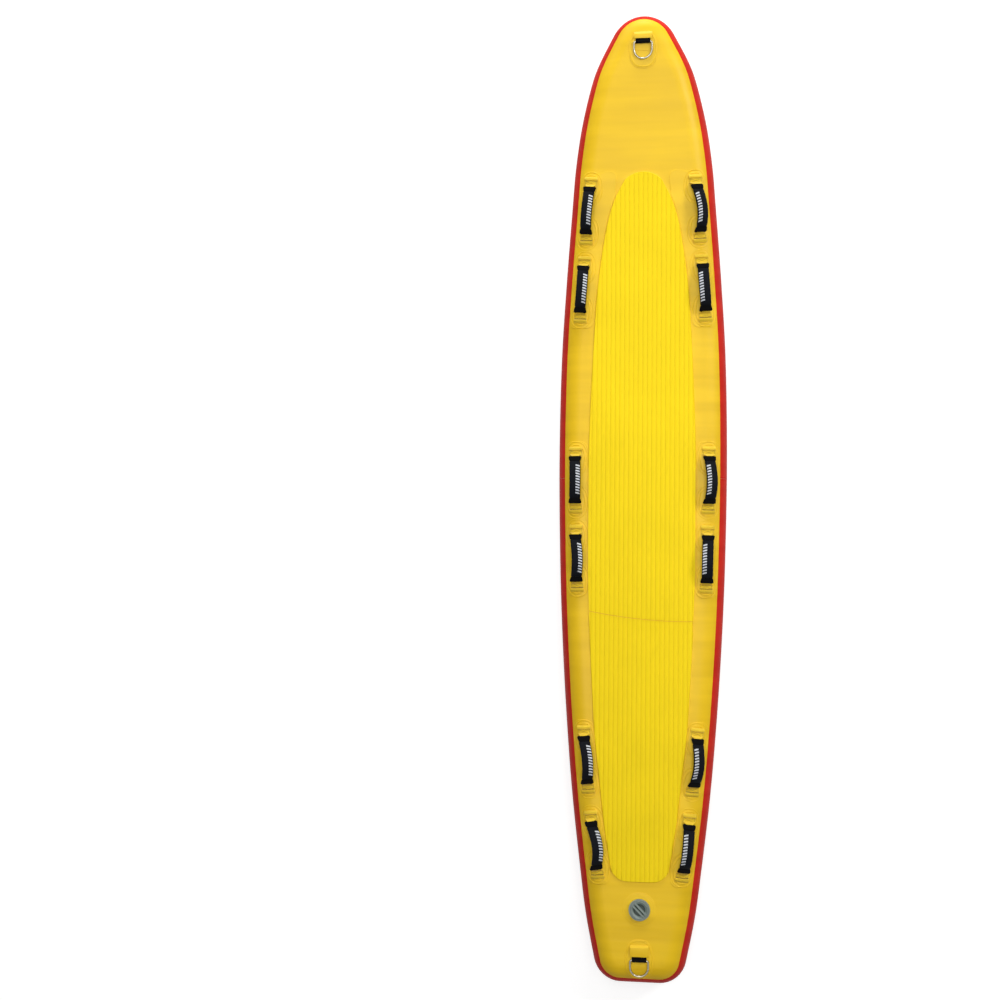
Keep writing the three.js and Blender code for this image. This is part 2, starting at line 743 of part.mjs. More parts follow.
// A D of round wire: a straight bar on the x axis, and a bow that reaches towards -y
function dRingGeometry() {
  const half = ringInnerWidth / 2 + ringWireRadius
  const depth = ringInnerDepth + ringWireRadius
  const bend = ringWireRadius * 2
  const centres = [
    ...arcPoints(new THREE.Vector2(0, half - depth), half, 180, 360, ringBowFacets),
    ...arcPoints(new THREE.Vector2(half - bend, -bend), bend, 0, 90, bendFacets / 2),
    ...arcPoints(new THREE.Vector2(bend - half, -bend), bend, 90, 180, bendFacets / 2)
  ]
  const loops = centres.map((centre, i) => {
    const before = centres[(i + centres.length - 1) % centres.length]
    const after = centres[(i + 1) % centres.length]
    const along = after.clone().sub(before).normalize()
    return Array.from({ length: wireSides }, (_, k) => {
      const angle = k / wireSides * 2 * Math.PI
      const out = ringWireRadius * Math.cos(angle)
      const up = ringWireRadius * Math.sin(angle)
      return new THREE.Vector3(centre.x + along.y * out, centre.y - along.x * out, up)
    })
  })
  return loft(loops, { closed: true })
}

// Webbing folded round the bar: its two layers run forward from the fold. Drawn from the side, in y and z.
function ringWebbingGeometry() {
  const bore = ringWireRadius + ringBoreGap
  const outer = bore + ringWebbingThickness
  const shape = new THREE.Shape()
  shape.moveTo(ringWebbingTail, -outer)
  shape.lineTo(ringWebbingTail, -outer + 2 * ringWebbingThickness)
  shape.lineTo(outer, -outer + 2 * ringWebbingThickness)
  shape.lineTo(outer * Math.cos(radians(45)), outer * Math.sin(radians(45)))
  shape.absarc(0, 0, outer, radians(45), radians(270), false)
  shape.closePath()
  shape.holes.push(new THREE.Path().absarc(0, 0, bore, 0, 2 * Math.PI, true))
  return crosswise(shape, ringWebbingWidth)
}

// The cover lies over the webbing's tail and steps down to the patch in front of it
function ringCoverGeometry() {
  const bore = ringWireRadius + ringBoreGap
  const outer = bore + ringWebbingThickness
  const top = -outer + 2 * ringWebbingThickness + seat
  const front = ringWebbingTail + seat
  const shape = new THREE.Shape([
    new THREE.Vector2(outer + ringWebbingThickness, top),
    new THREE.Vector2(front, top),
    new THREE.Vector2(front + pvcThickness, -outer),
    new THREE.Vector2(front + coverFoot, -outer),
    new THREE.Vector2(front + coverFoot, pvcThickness - outer),
    new THREE.Vector2(front + 2 * pvcThickness, pvcThickness - outer),
    new THREE.Vector2(front, top + pvcThickness),
    new THREE.Vector2(outer + ringWebbingThickness, top + pvcThickness)
  ])
  return crosswise(shape, coverWidth)
}

// A shape drawn in y and z, given a width along x
function crosswise(shape, width) {
  const options = { depth: width, bevelEnabled: false, curveSegments: ringBowFacets / 2 }
  const geometry = new THREE.ExtrudeGeometry(shape, options)
  const turn = new THREE.Matrix4().makeBasis(
    new THREE.Vector3(0, 1, 0), new THREE.Vector3(0, 0, 1), new THREE.Vector3(1, 0, 0))
  return tidy(geometry.translate(0, 0, -width / 2).applyMatrix4(turn))
}

// A round-ended patch that follows the deck
function ringPatchGeometry(station) {
  const centre = station - ringPatchLength / 2 + ringWebbingTail + coverFoot + ringPatchLead
  const rows = Array.from({ length: ringPatchRows + 1 }, (_, i) => {
    const angle = Math.PI * (i / ringPatchRows - 0.5)
    const end = i === 0 || i === ringPatchRows
    const half = end ? 0 : ringPatchWidth / 2 * Math.cos(angle) ** ringPatchFullness
    return { along: centre + ringPatchLength / 2 * Math.sin(angle), from: -half, to: half }
  })
  const quarter = ringPatchWidth / 4
  const columns = [-1.5 * quarter, -quarter, -quarter / 2, 0, quarter / 2, quarter, 1.5 * quarter]
  return sheet(rows, columns, 2 * seat, 2 * seat + pvcThickness, (y, x, height) => overDeck(x, y, height))
}

function buildRing(name, station, droopDegrees) {
  add(`${name}_ring_patch`, ringPatchGeometry(station), 'pvc_patch')
  const barHeight = 3 * seat + pvcThickness + ringWebbingThickness + ringBoreGap + ringWireRadius
  const here = overDeck(0, station, 0)
  const ahead = overDeck(0, Math.min(station + ringWebbingTail, panelHalfLength), 0)
  const slope = Math.atan2(ahead.z - here.z, ahead.y - here.y)
  const frame = new THREE.Matrix4().makeTranslation(here.x, here.y, here.z)
    .multiply(new THREE.Matrix4().makeRotationX(slope))
    .multiply(new THREE.Matrix4().makeTranslation(0, 0, barHeight))
  add(`${name}_ring_webbing`, ringWebbingGeometry(), 'black_webbing', frame)
  add(`${name}_ring_cover`, ringCoverGeometry(), 'pvc_patch', frame)
  const droop = new THREE.Matrix4().makeRotationX(radians(droopDegrees))
  add(`${name}_ring`, dRingGeometry(), 'stainless', frame.clone().multiply(droop))
}

// Inflation valve, about its own axis, with heights counted from the deck

function discProfile(radius, bottom, top) {
  return [[0, bottom], [radius, bottom], [radius, top], [0, top]]
}

function ringProfile(inner, outer, bottom, top) {
  return [[inner, bottom], [outer, bottom], [outer, top], [inner, top]]
}

function helixGeometry(radius, wire, turns, bottom, top) {
  const steps = turns * springSteps
  const slope = Math.atan2(top - bottom - 2 * wire, turns * 2 * Math.PI * radius)
  const loops = Array.from({ length: steps + 1 }, (_, i) => {
    const angle = i / springSteps * 2 * Math.PI
    const height = bottom + wire + (top - bottom - 2 * wire) * i / steps
    return Array.from({ length: springSides }, (_, k) => {
      const turn = k / springSides * 2 * Math.PI
      const out = radius + wire * Math.cos(turn)
      const up = wire * Math.sin(turn)
      return new THREE.Vector3(
        out * Math.cos(angle) + up * Math.sin(slope) * Math.sin(angle),
        out * Math.sin(angle) - up * Math.sin(slope) * Math.cos(angle),
        height + up * Math.cos(slope))
    })
  })
  return loft(loops)
}

function buildValve() {
  const patchBottom = seat
  const patchUpper = patchBottom + pvcThickness
  const hole = valveBarrelRadius + seat
  const sealBottom = patchUpper + seat
  const flangeBottom = sealBottom + valveSealThickness + seat
  const floor = flangeBottom + valveFlangeThickness
  const rim = floor + valveRimHeight
  const shelfTop = -valveShelfDepth
  const shelfBottom = shelfTop - valveShelfThickness
  const at = new THREE.Matrix4().makeTranslation(0, valveStation, deckTop)

  // The patch is embossed: its middle stands one thickness above its rim
  const patchRim = patchUpper - pvcThickness / 2
  const patch = turned([
    [hole, patchBottom], [valvePatchRadius, patchBottom],
    [valvePatchRadius, patchRim], [valvePatchInnerRadius, patchRim],
    [valvePatchInnerRadius - pvcThickness, patchUpper], [hole, patchUpper]
  ])
  add('valve_patch', patch, 'pvc_patch', at)
  const seal = turned(ringProfile(hole, valveSealRadius, sealBottom, sealBottom + valveSealThickness))
  add('valve_flange_seal', seal, 'rubber', at)

  const body = turned([
    [0, shelfBottom], [valveBoreRadius, shelfBottom],
    [valveBoreRadius, -valveBarrelDepth], [valveBarrelRadius, -valveBarrelDepth],
    [valveBarrelRadius, flangeBottom], [valveFlangeRadius, flangeBottom],
    [valveFlangeRadius, rim], [valveRecessRadius, rim],
    [valveRecessRadius, floor], [valveBoreRadius, floor],
    [valveBoreRadius, shelfTop], [0, shelfTop]
  ])
  const through = [shelfBottom - valveShelfThickness, shelfTop + valveShelfThickness]
  const ports = Array.from({ length: valvePorts }, (_, i) => {
    const angle = i / valvePorts * 2 * Math.PI
    const reach = (stemRadius + stemDiscRadius) / 2 + seat
    const port = turned(discProfile(valvePortRadius, ...through), innerSides / 2)
    return port.translate(reach * Math.cos(angle), reach * Math.sin(angle), 0)
  })
  const stemHole = turned(discProfile(stemRadius + seat, ...through), innerSides)
  const notch = new THREE.BoxGeometry(tetherWidth + 2 * seat, valveFlangeRadius, 2 * valveRimHeight)
  notch.translate(0, tetherEyeInner + valveFlangeRadius / 2, floor + valveRimHeight)
  add('valve_body', cutBy(body, ...ports, stemHole, tidy(notch)), 'grey_plastic', at)

  const nutTop = -skinThickness - seat
  add('valve_back_nut', turned(ringProfile(hole, valveNutRadius, nutTop - valveNutThickness, nutTop)),
    'grey_plastic', at)

  const discTop = shelfBottom - seat - diaphragmThickness - seat
  const buttonTop = -stemButtonDepth
  const buttonBottom = buttonTop - stemButtonThickness
  add('valve_stem', turned([
    [0, discTop - stemDiscThickness], [stemDiscRadius, discTop - stemDiscThickness],
    [stemDiscRadius, discTop], [stemRadius, discTop],
    [stemRadius, buttonBottom], [stemButtonRadius, buttonBottom],
    [stemButtonRadius, buttonTop], [0, buttonTop]
  ], innerSides), 'grey_plastic', at)
  add('valve_diaphragm', turned(ringProfile(stemRadius + seat, stemDiscRadius, discTop + seat,
    discTop + seat + diaphragmThickness), innerSides), 'rubber', at)
  add('valve_spring', helixGeometry(springRadius, springWireRadius, springTurns, shelfTop + seat,
    buttonBottom - seat), 'stainless', at)

  const eyeBottom = floor + seat
  const eyeTop = eyeBottom + tetherThickness
  const capBottom = eyeTop + seat
  const capTop = capBottom + capThickness
  const cap = turned([
    [0, capBottom], [capPlugRadius - capPlugWall, capBottom],
    [capPlugRadius - capPlugWall, capBottom - capPlugDepth], [capPlugRadius, capBottom - capPlugDepth],
    [capPlugRadius, capBottom], [capRadius, capBottom], [capRadius, capTop], [0, capTop]
  ])
  const bars = [-1, 1].map((side) => {
    const bar = new THREE.BoxGeometry(capBarLength, capBarWidth, capBarHeight + capThickness / 2)
    bar.translate(0, side * capBarSpacing / 2, capTop + capBarHeight / 2 - capThickness / 4)
    return tidy(bar.rotateZ(radians(capBarDegrees)))
  })
  add('valve_cap', joined(cap, ...bars), 'grey_plastic', at)

  // The plug turns inside the seal, so its corners must clear the middles of the seal's facets
  const capSealTop = floor - seat
  const capSealInner = (capPlugRadius + seat) / Math.cos(Math.PI / roundSides)
  const capSealOuter = valveBoreRadius - seat / 2
  const capSeal = turned(ringProfile(capSealInner, capSealOuter, capSealTop - capSealThickness, capSealTop))
  add('valve_cap_seal', capSeal, 'rubber', at)

  const eye = new THREE.Shape()
  const neck = Math.asin(tetherWidth / 2 / tetherEyeOuter)
  eye.absarc(0, 0, tetherEyeOuter, Math.PI / 2 + neck, Math.PI * 2.5 - neck, false)
  eye.lineTo(tetherWidth / 2, valveFlangeRadius)
  eye.lineTo(-tetherWidth / 2, valveFlangeRadius)
  eye.closePath()
  eye.holes.push(new THREE.Path().absarc(0, 0, tetherEyeInner, 0, 2 * Math.PI, true))
  add('valve_cap_tether', extruded(eye, tetherThickness, eyeBottom), 'grey_plastic', at)
}

// Fin box: a stadium block under the tail with a slot that widens into a track, inside a sloping patch

function stadiumPoints(length, width, facets) {
  const radius = width / 2
  const reach = length / 2 - radius
  return [
    ...arcPoints(new THREE.Vector2(0, reach), radius, 0, 180, facets),
    ...arcPoints(new THREE.Vector2(0, -reach), radius, 180, 360, facets)
  ]
}

function buildFinBox() {
  const at = new THREE.Matrix4().makeTranslation(0, finBoxStation, 0)
  const boxTop = hullBottom - seat
  const block = extruded(new THREE.Shape(stadiumPoints(finBoxLength, finBoxWidth, finFacets)), boxTop, 0)
  const slot = extruded(new THREE.Shape(stadiumPoints(finSlotLength, finSlotWidth, bendFacets)),
    finSlotDepth + finTrackHeight, -finTrackHeight)
  const track = extruded(new THREE.Shape(stadiumPoints(finSlotLength, finTrackWidth, bendFacets)),
    finTrackHeight, finTrackDepth)
  const entryTop = finTrackDepth + finTrackHeight
  const entry = turned(discProfile(finEntryRadius, -finTrackHeight, entryTop), innerSides)
  entry.translate(0, finSlotLength / 2 - finEntryRadius, 0)
  add('fin_box', cutBy(block, slot, track, entry), 'black_plastic', at)

  const inner = stadiumPoints(finBoxLength + 2 * seat, finBoxWidth + 2 * seat, finFacets)
  const outer = stadiumPoints(finPatchLength, finPatchWidth, finFacets)
  const crest = stadiumPoints(finBoxLength + 4 * finPatchEdge, finBoxWidth + 4 * finPatchEdge, finFacets)
  const loops = inner.map((point, i) => [
    new THREE.Vector3(point.x, point.y, boxTop),
    new THREE.Vector3(outer[i].x, outer[i].y, boxTop),
    new THREE.Vector3(outer[i].x, outer[i].y, boxTop - finPatchEdge),
    new THREE.Vector3(crest[i].x, crest[i].y, boxTop - finPatchHeight),
    new THREE.Vector3(point.x, point.y, boxTop - finPatchHeight - finPatchEdge / 2),
    new THREE.Vector3(point.x, point.y, boxTop - finPatchHeight / 2)
  ])
  add('fin_box_patch', loft(loops, { closed: true }), 'pvc_patch', at)
}

buildHull()
buildPads()
buildHandles()
buildRing('nose', noseRingStation, noseRingDroopDegrees)
buildRing('tail', tailRingStation, tailRingDroopDegrees)
buildValve()
buildFinBox()

export default board
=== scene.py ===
import math

import bmesh
import bpy
import numpy as np
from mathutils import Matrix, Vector
from mathutils.geometry import delaunay_2d_cdt


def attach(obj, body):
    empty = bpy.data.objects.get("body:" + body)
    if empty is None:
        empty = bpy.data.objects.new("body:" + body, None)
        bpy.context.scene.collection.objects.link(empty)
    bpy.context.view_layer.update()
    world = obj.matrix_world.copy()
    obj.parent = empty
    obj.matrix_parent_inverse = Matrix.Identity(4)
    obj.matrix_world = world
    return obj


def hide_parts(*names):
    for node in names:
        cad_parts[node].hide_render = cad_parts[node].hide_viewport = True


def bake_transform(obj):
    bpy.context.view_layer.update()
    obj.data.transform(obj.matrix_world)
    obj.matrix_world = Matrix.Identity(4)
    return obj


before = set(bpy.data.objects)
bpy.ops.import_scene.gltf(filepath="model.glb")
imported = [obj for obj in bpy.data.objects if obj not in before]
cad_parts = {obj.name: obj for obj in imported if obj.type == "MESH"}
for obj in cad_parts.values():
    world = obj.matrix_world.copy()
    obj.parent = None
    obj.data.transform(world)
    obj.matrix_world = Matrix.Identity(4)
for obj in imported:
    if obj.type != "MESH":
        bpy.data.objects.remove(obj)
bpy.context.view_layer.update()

# An inflatable lifeguard rescue board. Sizes are in millimetres and become metres when a mesh is made.
# +Y points to the nose, +X to starboard and +Z up, as in the frame.

# Hull
RAIL_RADIUS = 75.0
HULL_BOTTOM = 18.0
HULL_MIDDLE = HULL_BOTTOM + RAIL_RADIUS
DECK_HEIGHT = HULL_MIDDLE + RAIL_RADIUS
BOARD_TIP = 1600.0
NOSE_RISE = 140.0
ROCKER_LENGTH = 1250.0
PANEL_HALF_LENGTH = 1525.0
PANEL_HALF_BEAM = 206.0
# Knots of the flat panel's side, as shares of its half length and of its half beam
PANEL_SIDE = [
    (-0.904, 0.509), (-0.819, 0.596), (-0.647, 0.744), (-0.475, 0.85), (-0.303, 0.927), (-0.129, 0.976),
    (0.085, 1), (0.301, 0.976), (0.473, 0.903), (0.645, 0.803), (0.73, 0.746), (0.814, 0.648), (0.894, 0.5),
    (0.935, 0.381),
]
BAND_DEGREES = 46.0
BAND_JOINT = 68.0
FABRIC = 1.2
OUTLINE_STEP = 20.0

# Pieces that lie on each other are this far apart
CLEAR = 0.3
# Edges that turn by more degrees than this are drawn sharp
SHARP = 34.0

# Deck pad
PAD_TAIL = -1258.0
PAD_TIP = 1084.0
PAD_HALF_BEAM = 177.0
# Knots of the pad's side, as shares of its length from the tail and of its half beam
PAD_SIDE = [
    (0.078, 0.66), (0.126, 0.73), (0.182, 0.82), (0.24, 0.88), (0.409, 0.989), (0.538, 1), (0.644, 0.98),
    (0.796, 0.887), (0.85, 0.825), (0.888, 0.757), (0.927, 0.667), (0.96, 0.54),
]
PAD_JOINT = [(-177.0, -375.0), (0.0, -410.0), (177.0, -406.0)]
PAD_THICKNESS = 5.0
GROOVES_EACH_SIDE = 11
GROOVE_PITCH = 15.2
GROOVE_WIDTH = 2.6
GROOVE_DEPTH = 1.2
PAD_JOINT_GAP = 2.8
PAD_EDGE_SLOPE = 2.0

# Handles
HANDLE_INSET = 62.0
# Each pair of handles has its middle along the board and the spacing of its two handles
HANDLE_PAIRS = {"bow": (830.0, 261.0), "mid": (-70.0, 261.0), "stern": (-1004.0, 278.0)}
# How many degrees each handle leans outwards at rest, from the bow
LEANS = {"starboard": (13, -5, 8, -6, 11, 1), "port": (-3, -9, -9, -16, -19, -28)}
GRIP_HALF_LENGTH = 79.0
GRIP_END_HEIGHT = 16.0
GRIP_MID_HEIGHT = 42.0
GRIP_SKEW = 13.0
CUFF_LENGTH = 17.0
# The width and the thickness of the sleeve and of its cuffs
SLEEVE_SIZE = (36.8, 13.8)
CUFF_SIZE = (36.0, 13.6)
SLEEVE_SIDES = 32
SLEEVE_GIRTH = 80.0
# How full the sleeve's section is: 1 would be an ellipse and 0 a rectangle
SLEEVE_FULLNESS = 0.62
# How far a grip bends sideways for each degree of its lean
SWAY = 0.25
MARKS = 11
MARK_PITCH = 9.2
MARK_WIDTH = 4.8
MARK_SLANT = 4.0
PANEL_REACH = 130.0
PANEL_CORNER = 25.0
PATCH_LENGTH = 97.0
PATCH_WIDTH = 66.0
PATCH_SPACING = 146.0
WEBBING_WIDTH = 42.0
WEBBING_THICKNESS = 2.4
FOLDED_WIDTH = 24.0
FOLD_HEIGHT = 4.4
FOLD_LENGTH = 13.2
WEBBING_HALF_SPAN = 112.0
BEAD_WIDTH = 3.6
PANEL_TOP = 1.5
PATCH_TOP = 2.7
STITCH_HEIGHT = PATCH_TOP + CLEAR + WEBBING_THICKNESS + 0.1

# Fittings
# A ring has its station, its droop in degrees, how far its patch reaches aft and ahead of it, and how far its
# cover reaches ahead; its eye has a width and a depth
RINGS = {"nose": (1499.0, 1.0, 82.0, 36.0, 32.0), "tail": (-1511.0, 6.0, 70.0, 66.0, 48.0)}
RING_EYE = (53.0, 50.0)
RING_PATCH_WIDTH = 94.0
RING_PATCH_TOP = 1.7
VALVE_STATION = -1348.0
VALVE_BORE = 24.3
CAP_BAR_TURN = -45.0
FIN_BOX_STATION = -1187.0


# Plans and surfaces

def arc(centre, radius, start, end, count):
    """Points on an arc in plan, from one angle to another."""
    angles = np.radians(np.linspace(start, end, count + 1))
    return np.stack([centre[0] + radius * np.cos(angles), centre[1] + radius * np.sin(angles)], axis=1)


def curve_through(knots, step):
    """Points on a smooth curve through the knots, at most a step apart."""
    knots = np.asarray(knots, float)
    last = len(knots) - 1
    points = [knots[0]]
    for i in range(last):
        before, start, end, after = (knots[min(max(k, 0), last)] for k in (i - 1, i, i + 1, i + 2))
        count = max(1, math.ceil(np.linalg.norm(end - start) / step))
        t = (np.arange(count) + 1)[:, None] / count
        leave, arrive = (end - before) / 2, (after - start) / 2
        cubic = 2 * start - 2 * end + leave + arrive
        square = 3 * end - 3 * start - 2 * leave - arrive
        points.extend(cubic * t ** 3 + square * t ** 2 + leave * t + start)
    return np.array(points)


def half_outline(tail, tip, tail_half, corner, tail_degrees, nose, nose_degrees, flank):
    """Half an outline, from the middle of its square tail to the tip of its round nose."""
    straight = np.linspace((0.0, tail), (tail_half - corner, tail), 5)[:-1]
    tail_corner = arc((tail_half - corner, tail + corner), corner, -90, -tail_degrees, 8)
    nose_arc = arc((0.0, tip - nose), nose, nose_degrees, 90, 14)
    side = curve_through(np.vstack([tail_corner[-1], flank, nose_arc[0]]), OUTLINE_STEP)
    return np.vstack([straight, tail_corner[:-1], side, nose_arc[1:]])


panel_flank = [(x * PANEL_HALF_BEAM, y * PANEL_HALF_LENGTH) for y, x in PANEL_SIDE]
PANEL_EDGE = half_outline(
    -PANEL_HALF_LENGTH, PANEL_HALF_LENGTH, tail_half=78, corner=14, tail_degrees=10, nose=40, nose_degrees=30,
    flank=panel_flank)
TAIL_POINTS = 4
edge_steps = np.diff(PANEL_EDGE, axis=0)
edge_steps /= np.linalg.norm(edge_steps, axis=1)[:, None]
edge_along = np.vstack([[1, 0], edge_steps[:-1] + edge_steps[1:], [-1, 0]])
edge_along /= np.linalg.norm(edge_along, axis=1)[:, None]
EDGE_NORMALS = np.stack([edge_along[:, 1], -edge_along[:, 0]], axis=1)

pad_flank = [(x * PAD_HALF_BEAM, PAD_TAIL + y * (PAD_TIP - PAD_TAIL)) for y, x in PAD_SIDE]
PAD_EDGE = half_outline(
    PAD_TAIL, PAD_TIP, tail_half=97, corner=56, tail_degrees=14, nose=85, nose_degrees=45, flank=pad_flank)


def half_width(edge, y):
    """Half the width of an outline at a place along the board."""
    return np.interp(y, edge[TAIL_POINTS:, 1], edge[TAIL_POINTS:, 0])


def rocker(y):
    """How far the nose rocker lifts the hull."""
    past = np.maximum(0.0, np.asarray(y, float) - (BOARD_TIP - ROCKER_LENGTH))
    return NOSE_RISE * (past / ROCKER_LENGTH) ** 2


def over_hull(plan, height, face=1):
    """Points at a height over the deck, or below the bottom; past the flat panel they wrap the rail."""
    plan = np.asarray(plan, float).reshape(-1, 2)
    height = np.broadcast_to(np.asarray(height, float), len(plan))
    side = np.where(plan[:, 0] < 0, -1.0, 1.0)
    place = np.stack([np.abs(plan[:, 0]), plan[:, 1]], axis=1)
    starts, along = PANEL_EDGE[:-1], np.diff(PANEL_EDGE, axis=0)
    offset = place[:, None] - starts
    share = np.clip((offset * along).sum(2) / (along ** 2).sum(1), 0, 1)
    away = offset - share[..., None] * along
    reaches = np.linalg.norm(away, axis=2)
    nearest = reaches.argmin(1)
    rows = np.arange(len(plan))
    reach, gap, line = reaches[rows, nearest], away[rows, nearest], along[nearest]
    foot = place - gap
    outside = (gap[:, 0] * line[:, 1] - gap[:, 1] * line[:, 0] > 0) & (reach > 1e-6)
    angle = np.where(outside, reach / RAIL_RADIUS, 0.0)
    stretch = np.where(outside, (RAIL_RADIUS + height) * np.sin(angle) / np.maximum(reach, 1e-6), 1.0)
    out = foot + gap * stretch[:, None]
    up = HULL_MIDDLE + face * (RAIL_RADIUS + height) * np.cos(angle)
    return np.stack([side * out[:, 0], out[:, 1], up + rocker(out[:, 1])], axis=1)


def under_hull(plan, depth):
    """Points at a depth below the bottom of the hull."""
    return over_hull(plan, depth, face=-1)


def on_rail(stations, side, degrees, radius):
    """Points on the rail, at stations that may lie between two corners of the panel's edge."""
    stations = np.asarray(stations, float)
    index = np.arange(len(PANEL_EDGE))
    foot = np.stack([np.interp(stations, index, PANEL_EDGE[:, k]) for k in (0, 1)], axis=1)
    normal = np.stack([np.interp(stations, index, EDGE_NORMALS[:, k]) for k in (0, 1)], axis=1)
    plan = foot + normal * radius * math.cos(math.radians(degrees))
    up = HULL_MIDDLE + radius * math.sin(math.radians(degrees)) + rocker(plan[:, 1])
    return np.stack([side * plan[:, 0], plan[:, 1], up], axis=1)


# Meshes

def piece_from(name, parts, body, stands_for=(), sharp=SHARP):
    """Makes a piece of parts, each with its corners, faces and finish; doubled corners are joined."""
    corners, faces, numbers, finishes, across = [], [], [], [], []
    for points, part_faces, finish, *uv in parts:
        start = sum(len(block) for block in corners)
        corners.append(np.asarray(points, float).reshape(-1, 3) / 1000)
        faces.extend([start + int(k) for k in face] for face in part_faces)
        if finish not in finishes:
            finishes.append(finish)
        numbers.extend([finishes.index(finish)] * len(part_faces))
        across.append(np.asarray(uv[0], float) / 1000 if uv else corners[-1][:, :2])
    mesh = bpy.data.meshes.new(name)
    mesh.from_pydata(np.vstack(corners).tolist(), [], faces)
    mesh.polygons.foreach_set("material_index", numbers)
    layer = mesh.uv_layers.new(name="cloth")
    picks = np.empty(len(mesh.loops), np.int32)
    mesh.loops.foreach_get("vertex_index", picks)
    layer.data.foreach_set("uv", np.vstack(across)[picks].astype(np.float32).ravel())
    shape = bmesh.new()
    shape.from_mesh(mesh)
    bmesh.ops.remove_doubles(shape, verts=shape.verts, dist=2e-6)
    bmesh.ops.dissolve_degenerate(shape, dist=2e-6, edges=shape.edges)
    bmesh.ops.recalc_face_normals(shape, faces=shape.faces)
    shape.to_mesh(mesh)
    shape.free()
    for finish in finishes:
        mesh.materials.append(FINISHES[finish][0])
    return placed(mesh, name, FINISHES[finishes[0]][1], body, stands_for, sharp)


def placed(mesh, name, slot, body, stands_for=(), sharp=SHARP):
    """Puts a finished mesh in the scene on the body that carries it."""
    mesh.shade_smooth()
    mesh.set_sharp_from_angle(angle=math.radians(sharp))
    piece = bpy.data.objects.new(name, mesh)
    bpy.context.scene.collection.objects.link(piece)
    if body:
        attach(piece, body)
    if stands_for:
        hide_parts(*stands_for)
    return piece


def loft(rows, closed=False, looped=True):
    """Faces over rows of corners. A looped row goes round the piece; a closed loft ends at its first row."""
    rows = np.asarray(rows, float)
    count, size = rows.shape[:2]
    faces = []
    for i in range(count if closed else count - 1):
        here, beyond = i * size, (i + 1) % count * size
        for j in range(size if looped else size - 1):
            k = (j + 1) % size
            faces.append((here + j, here + k, beyond + k, beyond + j))
    if looped and not closed:
        faces.append(tuple(range(size)))
        faces.append(tuple((count - 1) * size + j for j in range(size)))
    return rows.reshape(-1, 3), faces


def loop_edges(count, start=0):
    """The edges of a closed loop of corners."""
    return [(start + i, start + (i + 1) % count) for i in range(count)]


def inset(outline, distance):
    """A closed outline, counterclockwise, moved inwards by a distance."""
    ahead = np.roll(outline, -1, axis=0) - outline
    ahead /= np.linalg.norm(ahead, axis=1)[:, None]
    along = ahead + np.roll(ahead, 1, axis=0)
    along /= np.linalg.norm(along, axis=1)[:, None]
    return outline + distance * np.stack([-along[:, 1], along[:, 0]], axis=1)


def inside(points, outline):
    """Which points lie inside a closed outline."""
    x, y = points[:, 0][:, None], points[:, 1][:, None]
    ax, ay = outline[:, 0], outline[:, 1]
    bx, by = np.roll(ax, -1), np.roll(ay, -1)
    crosses = (ay > y) != (by > y)
    height = np.where(by == ay, 1e-9, by - ay)
    return (crosses & (x < ax + (y - ay) * (bx - ax) / height)).sum(1) % 2 == 1


def cut_sheet(outline, place, low, high, finish, bevel=0.5, cells=(6.0, 8.0)):
    """A sheet cut to an outline and laid on a surface, with its upper edge rounded."""
    rim = inset(outline, bevel)
    edges = loop_edges(len(rim))
    lowest, highest = outline.min(0), outline.max(0)
    steps = [np.arange(lowest[k] + cells[k] / 2, highest[k], cells[k]) for k in (0, 1)]
    grid = np.stack(np.meshgrid(*steps), axis=-1).reshape(-1, 2)
    grid = grid[inside(grid, inset(rim, 0.35 * cells[0]))]
    flat = np.vstack([rim, grid])
    found = delaunay_2d_cdt([Vector(point) for point in flat], edges, [], 1, 1e-4)
    flat = np.array([tuple(point) for point in found[0]])
    number = {came: new for new, group in enumerate(found[3]) for came in group}
    ring = [number[i] for i in range(len(rim))]
    count, around = len(flat), len(rim)
    corners = np.vstack([
        place(flat, high), place(flat, low), place(outline, high - bevel), place(outline, low),
    ])
    faces = [tuple(face) for face in found[2]]
    faces += [tuple(count + k for k in reversed(face)) for face in found[2]]
    for i, j in edges:
        edge, foot = 2 * count + i, 2 * count + around + i
        edge_next, foot_next = 2 * count + j, 2 * count + around + j
        faces.append((ring[i], edge, edge_next, ring[j]))
        faces.append((edge, foot, foot_next, edge_next))
        faces.append((foot, count + ring[i], count + ring[j], foot_next))
    plan = np.vstack([flat, flat, outline, outline])
    return corners, faces, finish, plan


def plate_with_hole(outline, hole, levels, place):
    """A plate with a round hole about the origin of its plan, placed at two levels; its plan comes too."""
    rims = loop_edges(len(outline)) + loop_edges(len(hole), len(outline))
    flat = np.vstack([outline, hole])
    found = delaunay_2d_cdt([Vector(point) for point in flat], rims, [], 1, 1e-5)
    plan = np.array([tuple(point) for point in found[0]])
    # The hole is filled too, with faces whose middles lie well within its corners, and those are left out
    limit = np.linalg.norm(hole[0]) * 0.999
    kept = [face for face in found[2] if np.linalg.norm(plan[list(face)].mean(0)) > limit]
    count = len(plan)
    corners = np.vstack([place(plan, level) for level in levels])
    faces = [tuple(reversed(face)) for face in kept] + [tuple(count + k for k in face) for face in kept]
    faces += [(a, b, count + b, count + a) for a, b in rims]
    return corners, faces, plan


def pressed_bead(outline, place, base, width, rise):
    """A low round bead of patch fabric that follows a closed outline on a surface."""
    section = [
        (-0.5, 0.0), (-0.36, 0.45), (-0.17, 0.88), (0.0, 1.0), (0.17, 0.88), (0.36, 0.45), (0.5, 0.0),
    ]
    sunk = 0.3
    loops = [place(inset(outline, step * width), base + lift * rise) for step, lift in section]
    loops += [place(inset(outline, step * width), base - sunk) for step in (0.5, -0.5)]
    return (*loft(np.stack(loops, axis=1), closed=True), "patch fabric")


